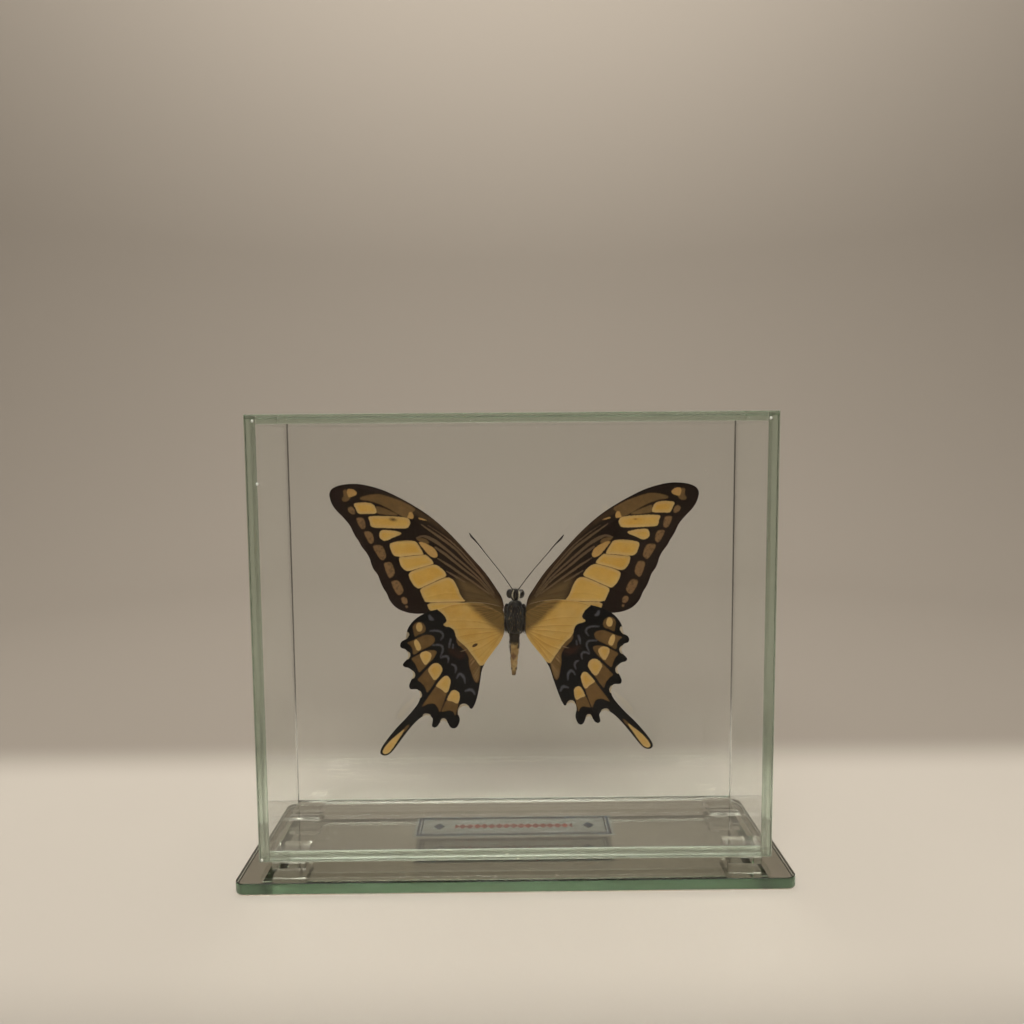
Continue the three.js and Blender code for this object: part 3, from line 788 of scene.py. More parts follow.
def wing_fields(node, u, v):
    """Every mark of one wing, each as a depth on all of its points."""
    fore = node.startswith("fore")
    marks = {
        "yellow": deepest(FORE_YELLOW if fore else HIND_YELLOW, u, v),
        "tan": deepest(FORE_TAN if fore else HIND_TAN, u, v),
        "dust": deepest(FORE_DUST if fore else HIND_DUST, u, v),
        "streak": along_lines(FORE_STREAKS if fore else HIND_STREAKS, u, v),
        "vein": along_lines(FORE_VEINS if fore else HIND_VEINS, u, v),
        "out": u,
        "up": v,
    }
    if fore:
        marks["edge_band"] = along_lines(FORE_EDGE_BAND, u, v)
        marks["pale"] = deepest(FORE_PALE, u, v)
        marks["spot"] = deepest(FORE_SPOTS, u, v)
    else:
        marks["blue"] = along_lines(HIND_BLUE, u, v)
        marks["red"] = deepest(HIND_RED, u, v)
        marks["cream"] = deepest(HIND_CREAM, u, v)
    own = {"forewing_left": LEFT_BRUISE, "forewing_right": RIGHT_DENT, "hindwing_left": LEFT_SPECK}
    marks["bruise"] = blotch(u, v, *own[node]) if node in own else np.full(u.shape, -FAR)
    return marks

def gentle_waves(u, v, phase):
    """The slow unevenness of a dried wing, between -1 and 1."""
    long_wave = np.sin(u * 0.23 + v * 0.11 + phase) * np.cos(v * 0.17 - u * 0.05 + phase)
    short_wave = np.sin(u * 0.71 - v * 0.43 + 2.0 * phase) * np.sin(v * 0.62 + phase)
    return 0.7 * long_wave + 0.3 * short_wave

print("wings to make:", ", ".join(WINGS))

# %% Wings
def settle(work, name, matrix=None):
    """Turns a bmesh into an object at the origin that rides on the body."""
    if matrix is not None:
        work.transform(matrix)
    mesh = bpy.data.meshes.new(name)
    work.to_mesh(mesh)
    work.free()
    piece = bpy.data.objects.new(name, mesh)
    bpy.context.scene.collection.objects.link(piece)
    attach(piece, "root")
    return piece

def soften(piece, angle=40.0):
    """Smooth shading, but sharp where two faces meet at more than the angle."""
    piece.data.shade_smooth()
    piece.data.set_sharp_from_angle(angle=math.radians(angle))

def make_wing(node, settings, phase):
    side = settings["side"]
    sheet, face_y = wing_sheet(node, side)
    middle = LAYER if node.startswith("fore") else -LAYER
    bmesh.ops.translate(sheet, verts=sheet.verts, vec=(0.0, middle - SHEET / 2 - face_y, 0.0))
    bmesh.ops.solidify(sheet, geom=sheet.faces[:], thickness=-SHEET)
    bmesh.ops.recalc_face_normals(sheet, faces=sheet.faces[:])
    piece = settle(sheet, node + "_scales")
    mesh = piece.data
    places = np.empty(len(mesh.vertices) * 3, np.float32)
    mesh.vertices.foreach_get("co", places)
    places = places.reshape(-1, 3).astype(float)
    u, v = on_the_wing(places, settings)
    marks = wing_fields(node, u, v)
    skin = np.sign(places[:, 1] - middle)
    lift = VEIN_LIFT * smooth_step(1.0 + marks["vein"] / VEIN_FOOT)
    places[:, 1] += skin * lift + WAVE * gentle_waves(u, v, phase)
    mesh.vertices.foreach_set("co", places.astype(np.float32).ravel())
    for mark, depth in marks.items():
        stored = mesh.attributes.new(mark, "FLOAT", "POINT")
        stored.data.foreach_set("value", depth.astype(np.float32))
    normals = np.empty(len(mesh.polygons) * 3, np.float32)
    mesh.polygons.foreach_get("normal", normals)
    back = (normals.reshape(-1, 3)[:, 1] > BACK_FACE).astype(np.int32)
    mesh.transform(to_wing(side).inverted())
    mesh.polygons.foreach_set("material_index", back)
    mesh.update()
    soften(piece)
    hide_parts(node)
    print(piece.name, len(mesh.vertices), "points")
    return piece

wings = {}
for number, (node, settings) in enumerate(WINGS.items()):
    wings[node] = make_wing(node, settings, FIRST_PHASE + NEXT_PHASE * number)

# %% [markdown]
# ## Scales: the wings' colours
#
# The colours are laid over each other in the order in which the scales lie: the dark ground
# first, then streaks, dust and tan, then yellow, with the blue, red and cream scales on top. Each
# edge is the point where a depth passes nought, frayed by a fine cloud so that it looks powdery
# and not printed. The underside and the top side share the same marks but not the same colours,
# so one function makes both finishes from a small list of paints.

# %% Wing finishes
SCALE_ROWS = 5200.0
FRAY = 1400.0
FRAY_SIZE = 0.30
YELLOW_WIDER = 0.13
ROOT_UP = 4.0
ROOT_OUT = 1.0
NEAR_BODY = (16.0, 44.0)
INNER_OUT = (15.0, 17.0)
INNER_LOW = (-25.0, -22.5)
INNER_HIGH = (-16.0, -12.0)
BRUISE = paint(0.034, 0.0101, 0.0050)

def palette(**colours):
    """One paint for each layer, from red, green and blue."""
    return {layer: paint(*colour) for layer, colour in colours.items()}

UNDERSIDE_FORE = palette(
    ground=(0.0123, 0.0056, 0.0028), ground_near=(0.0151, 0.0067, 0.0028),
    streak=(0.133, 0.084, 0.046), edge_band=(0.047, 0.027, 0.0123), dust=(0.112, 0.067, 0.027),
    tan=(0.151, 0.085, 0.031), spot=(0.196, 0.112, 0.047), yellow=(0.498, 0.306, 0.078),
    yellow_deep=(0.482, 0.269, 0.050), rim=(0.482, 0.314, 0.118), pale=(0.426, 0.246, 0.078),
    vein=(0.095, 0.042, 0.0123),
)
UNDERSIDE_HIND = palette(
    ground=(0.0025, 0.0020, 0.0017), ground_near=(0.0034, 0.0022, 0.0017),
    streak=(0.260, 0.185, 0.105), dust=(0.101, 0.058, 0.0190), tan=(0.129, 0.068, 0.021),
    inner=(0.235, 0.146, 0.064), blue=(0.101, 0.101, 0.116), red=(0.042, 0.0123, 0.0045),
    cream=(0.437, 0.358, 0.246), yellow=(0.470, 0.291, 0.084), yellow_deep=(0.442, 0.252, 0.056),
    rim=(0.459, 0.302, 0.112), vein=(0.213, 0.106, 0.025),
)
TOP_FORE = palette(
    ground=(0.0112, 0.0078, 0.0062), ground_near=(0.0168, 0.0112, 0.0078),
    streak=(0.0160, 0.0110, 0.0075), edge_band=(0.0123, 0.0090, 0.0067),
    dust=(0.034, 0.022, 0.0112), rim=(0.437, 0.291, 0.062), tan=(0.0134, 0.0095, 0.0067),
    spot=(0.358, 0.241, 0.042), yellow=(0.448, 0.297, 0.045), yellow_deep=(0.426, 0.258, 0.028),
    pale=(0.426, 0.297, 0.067), vein=(0.067, 0.042, 0.0112),
)
TOP_HIND = palette(
    ground=(0.0112, 0.0078, 0.0062), ground_near=(0.0146, 0.0101, 0.0073),
    streak=(0.040, 0.028, 0.0120), dust=(0.039, 0.027, 0.0123), inner=(0.028, 0.020, 0.0112),
    rim=(0.437, 0.291, 0.062), tan=(0.0123, 0.0090, 0.0067), blue=(0.0146, 0.0112, 0.0101),
    red=(0.062, 0.0168, 0.0078), cream=(0.403, 0.314, 0.146), yellow=(0.448, 0.297, 0.045),
    yellow_deep=(0.426, 0.258, 0.028), vein=(0.168, 0.101, 0.0168),
)

def wing_finish(name, paints):
    """One face of a wing. Each layer has a softness at its edge and an amount that covers."""
    finish = Finish(name)
    fray = (finish.cloud(FRAY, 2.0) - 0.5) * FRAY_SIZE
    slow = finish.cloud(170.0, 3.0)
    patchy = finish.cloud(420.0, 4.0)
    out = finish.field("out")
    up = finish.field("up")

    def over(colour, layer, soft, amount=1.0, wider=0.0):
        """Lays one colour over what is there, wherever its mark is deeper than nought."""
        mask = (finish.field(layer) + fray + wider).step(-soft, soft) * amount
        return finish.blend(colour, paints[layer], mask)

    nearness = 1.0 - out.step(*NEAR_BODY)
    colour = finish.blend(paints["ground"], paints["ground_near"], nearness)
    grain = finish.cloud(2300.0, 2.0)
    slope = (up - ROOT_UP) / (out + ROOT_OUT)
    fan = finish.node("ShaderNodeCombineXYZ", None, {0: slope, 1: out * 0.004, 2: 0.0})
    rays = finish.cloud(26.0, 2.0, at=fan)
    yellow = finish.blend(paints["yellow"], paints["yellow_deep"], slow.step(0.30, 0.72))
    yellow_depth = finish.field("yellow") + fray + YELLOW_WIDER
    yellow = finish.blend(paints["rim"], yellow, yellow_depth.step(0.15, 1.40))
    rich = yellow_depth.step(-0.20, 0.20)
    if "spot" in paints:
        colour = over(colour, "edge_band", 0.55, 0.55 + patchy.step(0.3, 0.7) * 0.45)
        colour = over(colour, "dust", 2.0, 0.72 + rays.step(0.35, 0.65) * 0.24)
        colour = over(colour, "streak", 0.19, 0.95)
        colour = over(colour, "tan", 0.30, 0.80 + patchy.step(0.15, 0.75) * 0.20)
        crossed = finish.cloud(900.0, 1.0).step(0.34, 0.50)
        colour = over(colour, "spot", 0.30, 0.66 + crossed * 0.30)
        colour = finish.blend(colour, yellow, rich)
        colour = over(colour, "pale", 0.22)
        line = finish.field("vein").step(-0.04, 0.14) * rich * 0.62
    else:
        colour = over(colour, "tan", 0.26, 0.80 + patchy.step(0.15, 0.7) * 0.20)
        inner = over(colour, "tan", 0.9)
        inner_zone = (1.0 - out.step(*INNER_OUT)) * up.step(*INNER_LOW)
        inner_zone = inner_zone * (1.0 - up.step(*INNER_HIGH))
        inner = finish.blend(inner, paints["inner"], rays.step(0.42, 0.60) * 0.85)
        colour = finish.blend(colour, inner, inner_zone * finish.field("tan").step(-0.3, 0.9))
        colour = over(colour, "red", 1.10, 0.30 + patchy.step(0.35, 0.65) * 0.30)
        colour = over(colour, "blue", 0.42, 0.56 + grain.step(0.30, 0.62) * 0.30)
        colour = finish.blend(colour, yellow, rich)
        line = finish.field("vein").step(-0.03, 0.12) * rich * 0.34
        root_dust = (finish.field("dust") + fray * 2.0).step(-1.3, 1.3)
        thinned = root_dust * (0.74 + rays.step(0.35, 0.65) * 0.22)
        colour = finish.blend(colour, paints["dust"], thinned)
        colour = over(colour, "streak", 0.14, 0.62)
        colour = over(colour, "cream", 0.16, 0.92, 0.18)
    colour = finish.blend(colour, paints["vein"], line)
    bruise = finish.field("bruise").step(-0.20, 0.90) * 0.94
    colour = finish.blend(colour, BRUISE, bruise)
    worn = (grain - 0.5) * 0.22 + (patchy - 0.5) * 0.24 + 1.0
    shade = finish.node("ShaderNodeCombineColor", None, {0: worn, 1: worn, 2: worn})
    colour = finish.blend(colour, shade, 1.0, "MULTIPLY")
    ridges = finish.node("ShaderNodeCombineXYZ", None, {0: out * 0.22, 1: up * 0.22, 2: 0.0})
    rows = finish.cloud(9.0, 2.0, at=ridges)
    settled = {"Vector": finish.place(), "Scale": SCALE_ROWS}
    flakes = finish.node("ShaderNodeTexVoronoi", None, settled)
    relief = flakes * 0.5 + grain * 0.8 + rows * 0.6
    finish.surface(
        Base_Color=colour,
        Roughness=0.62 + 0.20 * patchy,
        Specular_IOR_Level=0.14,
        Sheen_Weight=0.03,
        Sheen_Roughness=0.5,
        Normal=finish.bump(relief, 0.00006, 0.5),
    )
    return finish.material

finishes = {
    "fore": (
        wing_finish("forewing_underside", UNDERSIDE_FORE),
        wing_finish("forewing_top", TOP_FORE),
    ),
    "hind": (
        wing_finish("hindwing_underside", UNDERSIDE_HIND),
        wing_finish("hindwing_top", TOP_HIND),
    ),
}
for node, piece in wings.items():
    for material in finishes[node[:4]]:
        piece.data.materials.append(material)
print("wings finished on both faces")

# %% [markdown]
# ## The body
#
# The body is built in millimetres about the middle of the thorax, and leans over by a degree or
# two, like the solid. Its round parts are profiles spun about the body's line, and its thin parts
# are tapered curves turned to mesh.

# %% Body tools
HAIR_MIDDLE = 0.46
HAIR_TIP = 0.15
BODY = Matrix.Translation(insect) @ Matrix.Rotation(BODY_LEAN, 4, "Y") @ Matrix.Scale(MM, 4)

def spun(profile, deepness, steps):
    """A round form from (radius, height) pairs. Deepness is its depth for a width of one."""
    work = bmesh.new()
    rim = [work.verts.new((radius, 0.0, height)) for radius, height in profile]
    edges = [work.edges.new(pair) for pair in zip(rim[:-1], rim[1:])]
    bmesh.ops.spin(
        work, geom=[*rim, *edges], cent=(0, 0, 0), axis=(0, 0, 1),
        angle=2 * math.pi, steps=steps, use_merge=True,
    )
    bmesh.ops.remove_doubles(work, verts=work.verts, dist=1e-4)
    bmesh.ops.recalc_face_normals(work, faces=work.faces[:])
    bmesh.ops.scale(work, vec=(1.0, deepness, 1.0), verts=work.verts)
    return work

def ruffle(work, size, scale, seed):
    """Small uneven dents, as dried skin has."""
    for vert in work.verts:
        offset = noise.noise(Vector(vert.co) * scale + Vector((seed, 0.0, 0.0)))
        vert.co += vert.normal * size * offset

def add_ball(work, centre, radii, around, rings):
    matrix = Matrix.Translation(centre) @ Matrix.Diagonal((*radii, 1.0))
    bmesh.ops.create_uvsphere(work, u_segments=around, v_segments=rings, radius=1.0, matrix=matrix)

def add_strand(work, points, radii, fineness=3):
    """A tapered round strand along a smooth route, closed at both ends."""
    curve = bpy.data.curves.new("strand", "CURVE")
    curve.dimensions = "3D"
    curve.bevel_depth = 1.0
    curve.bevel_resolution = fineness
    curve.use_fill_caps = True
    curve.resolution_u = 6
    spline = curve.splines.new("BEZIER")
    spline.bezier_points.add(len(points) - 1)
    for knot, place, radius in zip(spline.bezier_points, points, radii):
        knot.co = place
        knot.radius = radius
        knot.handle_left_type = knot.handle_right_type = "AUTO"
    holder = bpy.data.objects.new("strand", curve)
    bpy.context.scene.collection.objects.link(holder)
    shape = holder.evaluated_get(bpy.context.evaluated_depsgraph_get())
    mesh = bpy.data.meshes.new_from_object(shape)
    work.from_mesh(mesh)
    bpy.data.objects.remove(holder)
    bpy.data.curves.remove(curve)
    bpy.data.meshes.remove(mesh)

def add_hair(work, root, direction, length, radius):
    """One hair: a thin three-sided spike, sunk a little into the skin."""
    turn = Vector((0, 0, 1)).rotation_difference(direction).to_matrix().to_4x4()
    matrix = Matrix.Translation(root + direction * (length * HAIR_MIDDLE)) @ turn
    bmesh.ops.create_cone(
        work, cap_ends=True, segments=3, radius1=radius, radius2=radius * HAIR_TIP,
        depth=length, matrix=matrix,
    )

print("body tools are ready")

# %% Thorax
THORAX_PROFILE = [
    (0, -6.0), (1.4, -5.8), (2.5, -4.5), (3.0, -2.4), (3.15, 0), (3.05, 2.2), (2.7, 4.2),
    (1.8, 5.6), (0, 6.0),
]
THORAX_DEEPNESS = 1.10
thorax_work = spun(smooth_line(THORAX_PROFILE), THORAX_DEEPNESS, 48)
thorax_work.normal_update()
ruffle(thorax_work, 0.22, 0.9, 3.0)
thorax = settle(thorax_work, "thorax_skin", BODY)
soften(thorax)
print("thorax:", len(thorax.data.vertices), "points")

# %% [markdown]
# The hair on the thorax is dense and short, and it all lies back towards the abdomen. Each hair
# is a single thin spike, so a few thousand of them stay light. The seed is fixed, so every run
# grows the same coat.

# %% Coat of hair
HAIR_LIFT = 0.55

def grow_coat(count, middle, radii, lowest, highest, length, radius, lie, seed):
    """Hairs rooted on an ellipsoid between two heights, lying along one direction."""
    chance = random.Random(seed)
    work = bmesh.new()
    for _ in range(count):
        turn = chance.uniform(0.0, 2.0 * math.pi)
        height = chance.uniform(lowest, highest)
        ring = math.sqrt(max(0.0, 1.0 - height * height))
        outward = Vector((ring * math.cos(turn), ring * math.sin(turn), height))
        root = Vector(middle) + Vector([a * b for a, b in zip(outward, radii)])
        stray = Vector([chance.gauss(0.0, 0.22) for _ in range(3)])
        direction = (outward * HAIR_LIFT + Vector(lie) + stray).normalized()
        add_hair(work, root, direction, length * chance.uniform(0.6, 1.25), radius)
    return work

coat_work = grow_coat(
    count=2600, middle=(0, 0, 0), radii=(3.0, 3.3, 5.8), lowest=-0.95, highest=0.97,
    length=1.05, radius=0.035, lie=(0, 0, -0.9), seed=11,
)
coat = settle(coat_work, "thorax_hair", BODY)
print("thorax hair:", len(coat.data.polygons), "faces")

# %% [markdown]
# The six legs are folded flat against the underside of the thorax, each bent back on itself once.

# %% Legs
LEG_ROUTES = [
    [(0.9, -2.8, 4.4), (1.7, -3.1, 2.4), (2.2, -2.9, -0.2), (1.6, -3.4, 1.4), (1.1, -3.5, 3.2)],
    [(0.6, -3.2, 2.0), (1.1, -3.6, 0.0), (1.5, -3.4, -2.8), (0.9, -3.8, -1.2), (0.4, -3.8, 1.0)],
    [(0.8, -3.2, -1.6), (1.6, -3.2, -3.2), (2.0, -2.6, -5.2), (1.3, -3.1, -4.2),
     (0.7, -3.4, -2.6)],
]
LEG_RADII = (0.34, 0.24, 0.26, 0.17, 0.10)
legs_work = bmesh.new()
for side in (-1, 1):
    for route in LEG_ROUTES:
        add_strand(legs_work, [(side * x, y, z) for x, y, z in route], LEG_RADII)
bmesh.ops.remove_doubles(legs_work, verts=legs_work.verts, dist=1e-4)
bmesh.ops.recalc_face_normals(legs_work, faces=legs_work.faces[:])
legs = settle(legs_work, "folded_legs", BODY)
soften(legs)
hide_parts("thorax")
print("legs:", len(LEG_ROUTES) * 2)

# %% [markdown]
# The wings are hinged to the sides of the thorax, and long soft hair hides the hinges. Here a
# small pad of skin bridges each hinge, and hair grown over it lies out along the wing's base.

# %% Hinges of the wings
HINGES = [
    ((2.95, 0.15, 2.2), (0.95, 0.85, 2.5)),
    ((2.85, -0.15, -2.4), (0.90, 0.85, 2.9)),
]
HINGE_HAIRS = 1300
HINGE_HAIR_RADIUS = 0.032

hinge_work = bmesh.new()
for side in (-1, 1):
    for (x, y, z), radii in HINGES:
        add_ball(hinge_work, (side * x, y, z), radii, 20, 14)
hinges = settle(hinge_work, "wing_hinges", BODY)
soften(hinges)

hinge_chance = random.Random(47)
hinge_hair_work = bmesh.new()
for _ in range(HINGE_HAIRS):
    side = hinge_chance.choice((-1, 1))
    root = Vector((
        side * hinge_chance.uniform(2.0, 3.6),
        hinge_chance.uniform(-1.3, -0.6),
        hinge_chance.uniform(-4.6, 4.8),
    ))
    across = side * hinge_chance.uniform(0.1, 0.6)
    lie = Vector((across, -0.10, -1.0 + hinge_chance.gauss(0.0, 0.2))).normalized()
    add_hair(hinge_hair_work, root, lie, hinge_chance.uniform(0.8, 1.7), HINGE_HAIR_RADIUS)
hinge_hair = settle(hinge_hair_work, "hinge_hair", BODY)
print("hinges:", len(HINGES) * 2, "with", HINGE_HAIRS, "hairs")

# %% [markdown]
# The head carries two pale palps, which stand up in front of it, and the tongue, coiled like a
# watch spring below them. The eyes are large domes at its sides.

# %% Head, palps and tongue
HEAD_AT = (0.0, 0.0, 8.25)
EYE_X = 1.95
EYE_RADII = (1.25, 1.4, 1.65)
head_work = bmesh.new()
add_ball(head_work, HEAD_AT, (1.75, 1.7, 1.75), 32, 20)
add_ball(head_work, (0.0, 0.1, 6.7), (1.5, 1.5, 1.0), 24, 14)
head = settle(head_work, "head_skin", BODY)
soften(head)
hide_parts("head")

palps_work = bmesh.new()
for base, bulge in ((-0.45, -1.0), (0.95, 1.3)):
    tip = base + bulge * 0.12
    palp = [(base, -1.5, 6.4), (bulge, -1.95, 7.4), (bulge, -2.1, 8.6), (tip, -2.0, 9.9)]
    add_strand(palps_work, palp, (0.16, 0.26, 0.26, 0.10))
palps = settle(palps_work, "palps", BODY)
soften(palps)

TONGUE_TURNS = 2.3
TONGUE_KNOTS = 24
tongue_work = bmesh.new()
coil = []
thickness = []
for index in range(TONGUE_KNOTS):
    share = index / (TONGUE_KNOTS - 1)
    turn = share * TONGUE_TURNS * 2.0 * math.pi
    radius = 0.95 - 0.62 * share
    coil.append((0.0, -1.95 - radius * math.cos(turn) * 0.42, 7.7 + radius * math.sin(turn)))
    thickness.append(0.17 - 0.09 * share)
add_strand(tongue_work, coil, thickness, 2)
tongue = settle(tongue_work, "coiled_tongue", BODY)
soften(tongue)

head_hair_work = grow_coat(
    count=520, middle=HEAD_AT, radii=(1.8, 1.75, 1.6), lowest=-0.75, highest=0.9,
    length=0.6, radius=0.028, lie=(0, 0, 0.55), seed=23,
)
head_hair = settle(head_hair_work, "head_hair", BODY)
print("head, two palps, tongue and", len(head_hair.data.polygons), "faces of hair")

# %% Eyes
for name, side in (("eye_left", -1), ("eye_right", 1)):
    eye_work = bmesh.new()
    add_ball(eye_work, (side * EYE_X, -0.2, HEAD_AT[2]), EYE_RADII, 40, 28)
    eye = settle(eye_work, name + "_dome", BODY)
    soften(eye)
    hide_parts(name)
print("eyes: 2")

# %% [markdown]
# The abdomen has seven rings. Between them the skin is drawn in, and the dry body has shrunk
# unevenly. At its end are two claspers.

# %% Abdomen
ABDOMEN_TOP = -5.6
ABDOMEN_BOTTOM = -19.2
ABDOMEN_DEEPNESS = 1.08
RINGS = 7

def abdomen_profile():
    """Each ring swells from its front end and draws in a little at its rear end."""
    step = (ABDOMEN_BOTTOM - ABDOMEN_TOP) / RINGS
    points = [(0.0, ABDOMEN_TOP + 0.2), (1.3, ABDOMEN_TOP)]
    for ring in range(RINGS):
        share = (ring + 0.5) / RINGS
        full = 1.98 - 0.95 * share
        start = ABDOMEN_TOP + step * ring
        points.append((full * 0.90, start + step * 0.06))
        points.append((full, start + step * 0.35))
        points.append((full * 0.97, start + step * 0.85))
    points += [(0.8, ABDOMEN_BOTTOM - 0.2), (0.0, ABDOMEN_BOTTOM - 0.4)]
    return points

abdomen_work = spun(smooth_line(abdomen_profile(), 1), ABDOMEN_DEEPNESS, 40)
abdomen_work.normal_update()
ruffle(abdomen_work, 0.20, 0.75, 8.0)
for side in (-1, 1):
    add_ball(abdomen_work, (side * 0.30, -0.1, ABDOMEN_BOTTOM - 0.3), (0.50, 0.75, 1.45), 18, 12)
abdomen = settle(abdomen_work, "abdomen_skin", BODY)
soften(abdomen)
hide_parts("abdomen")

abdomen_hair_work = grow_coat(
    count=900, middle=(0, 0, -9.4), radii=(1.8, 1.95, 4.6), lowest=-0.9, highest=0.85,
    length=0.7, radius=0.026, lie=(0, 0, -1.4), seed=31,
)
abdomen_hair = settle(abdomen_hair_work, "abdomen_hair", BODY)
print("abdomen:", len(abdomen.data.vertices), "points")

# %% [markdown]
# Each antenna is a thin thread that swells into a small club near its tip.

# %% Antennae
ANTENNA_ROUTE = [
    (0.9, -0.4, 9.6), (5.0, -0.7, 15.4), (10.2, -0.9, 21.8), (13.4, -1.0, 25.8), (14.6, -1.0, 27.1),
    (15.6, -1.0, 28.2), (16.3, -1.0, 29.3),
]
ANTENNA_RADII = (0.17, 0.15, 0.15, 0.20, 0.33, 0.36, 0.14)
for name, side in (("antenna_left", -1), ("antenna_right", 1)):
    antenna_work = bmesh.new()
    add_strand(antenna_work, [(side * x, y, z) for x, y, z in ANTENNA_ROUTE], ANTENNA_RADII)
    antenna = settle(antenna_work, name + "_strand", BODY)
    soften(antenna)
    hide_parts(name)
print("antennae: 2")

# %% [markdown]
# ## The body's finishes
#
# The skin and the hair share one dry, matt finish: black-brown with threads of dull yellow. The
# eyes are dark and a little glossy. The abdomen turns from black to dull yellow down its length,
# with black sides that reach lower on one side than on the other, and a brown stain.

# %% Body finishes
def hairy_finish(name, dark, light, low, high):
    """Dark skin or hair with threads of a lighter colour along the body."""
    finish = Finish(name)
    across, deep, up = finish.axes(insect)
    parts = {0: across * 2.6, 1: deep * 2.0, 2: up * 0.55}
    threads = finish.node("ShaderNodeCombineXYZ", None, parts)
    streaks = finish.cloud(1.0, 3.0, at=threads)
    fine = finish.cloud(2400.0, 2.0)
    colour = finish.blend(dark, light, (streaks + (fine - 0.5) * 0.3).step(low, high))
    finish.surface(
        Base_Color=colour,
        Roughness=0.6 + 0.25 * fine,
        Specular_IOR_Level=0.3,
        Sheen_Weight=0.15,
        Normal=finish.bump(fine, 0.0001, 0.5),
    )
    return finish.material

skin = hairy_finish(
    "body_skin", paint(0.0078, 0.0062, 0.0050), paint(0.090, 0.059, 0.025), 0.58, 0.78,
)
hair = hairy_finish(
    "body_hair", paint(0.0112, 0.0084, 0.0062), paint(0.134, 0.092, 0.042), 0.56, 0.76,
)
palp_skin = hairy_finish(
    "palp_scales", paint(0.258, 0.213, 0.140), paint(0.414, 0.370, 0.269), 0.3, 0.6,
)
leg_skin = hairy_finish(
    "leg_skin", paint(0.0123, 0.0090, 0.0067), paint(0.157, 0.106, 0.045), 0.50, 0.70,
)
hinge_skin = hairy_finish(
    "hinge_hair", paint(0.0112, 0.0078, 0.0056), paint(0.134, 0.090, 0.039), 0.52, 0.74,
)
strand_skin = hairy_finish(
    "antenna_skin", paint(0.0168, 0.0134, 0.0101), paint(0.042, 0.032, 0.022), 0.4, 0.7,
)

EYE_FACETS = 7000.0
EYE_DARK = paint(0.0056, 0.0039, 0.0028)
EYE_LIGHT = paint(0.028, 0.0157, 0.0090)

def eye_finish():
    finish = Finish("eye_dome")
    settled = {"Vector": finish.place(), "Scale": EYE_FACETS}
    facets = finish.node("ShaderNodeTexVoronoi", None, settled)
    mottle = finish.cloud(700.0, 2.0)
    finish.surface(
        Base_Color=finish.blend(EYE_DARK, EYE_LIGHT, mottle),
        Roughness=0.24 + 0.20 * mottle,
        Coat_Weight=0.25,
        Normal=finish.bump(facets, 0.00004, 0.35),
    )
    return finish.material

BUFF = paint(0.370, 0.252, 0.106)
BUFF_DEEP = paint(0.280, 0.168, 0.056)
STAIN = paint(0.112, 0.048, 0.0157)
END_BROWN = paint(0.134, 0.073, 0.025)
SPOT_BROWN = paint(0.045, 0.022, 0.0101)
BLACK_SCALES = paint(0.0123, 0.0090, 0.0067)
STAIN_AT = (-0.35, -13.7)
LAST_SPOTS_AT = (0.8, -18.2)

def abdomen_finish():
    """Buff scales with a stain and brown spots, black at the front and down the sides."""
    finish = Finish("abdomen_scales")
    across, _, up = finish.axes(insect)
    lean = across - up * math.tan(BODY_LEAN)
    patchy = finish.cloud(620.0, 4.0)
    fine = finish.cloud(2600.0, 2.0)
    ragged = (patchy - 0.5) * 2.6
    torn_up = up + ragged
    dark_end = torn_up.step(-10.2, -8.6)
    left_side = (-1.0 * lean + ragged * 0.25).step(1.05, 1.45) * torn_up.step(-15.8, -14.6)
    right_side = (lean + ragged * 0.25).step(0.95, 1.35) * torn_up.step(-11.4, -10.2)
    dark = dark_end.top(left_side).top(right_side)
    stain_far = (lean - STAIN_AT[0]).size() * 0.9 + (up - STAIN_AT[1]).size() * 0.7
    stain = 1.0 - (stain_far + ragged * 0.30).step(0.5, 1.5)
    spot_far = (lean.size() - LAST_SPOTS_AT[0]).size() * 1.5 + (up - LAST_SPOTS_AT[1]).size()
    last_spots = 1.0 - (spot_far + ragged * 0.1).step(0.35, 0.85)
    last_ring = (0.0 - up + ragged * 0.6).step(18.6, 19.8)
    colour = finish.blend(BUFF, BUFF_DEEP, patchy.step(0.35, 0.65))
    colour = finish.blend(colour, STAIN, stain * 0.95)
    colour = finish.blend(colour, END_BROWN, last_ring * 0.7)
    colour = finish.blend(colour, SPOT_BROWN, last_spots * 0.80)
    colour = finish.blend(colour, BLACK_SCALES, dark * 0.96)
    finish.surface(
        Base_Color=colour,
        Roughness=0.55 + 0.25 * fine,
        Specular_IOR_Level=0.32,
        Normal=finish.bump(patchy + fine, 0.00012, 0.6),
    )
    return finish.material

abdomen_scales = abdomen_finish()
FINISH_OF = {
    "thorax_skin": skin, "thorax_hair": hair, "folded_legs": leg_skin,
    "wing_hinges": skin, "hinge_hair": hinge_skin,
    "head_skin": skin, "head_hair": hair, "palps": palp_skin, "coiled_tongue": leg_skin,
    "eye_left_dome": eye_finish(), "eye_right_dome": eye_finish(),
    "abdomen_skin": abdomen_scales, "abdomen_hair": abdomen_scales,
    "antenna_left_strand": strand_skin, "antenna_right_strand": strand_skin,
}
for name, material in FINISH_OF.items():
    bpy.data.objects[name].data.materials.append(material)
print("body pieces finished:", len(FINISH_OF))
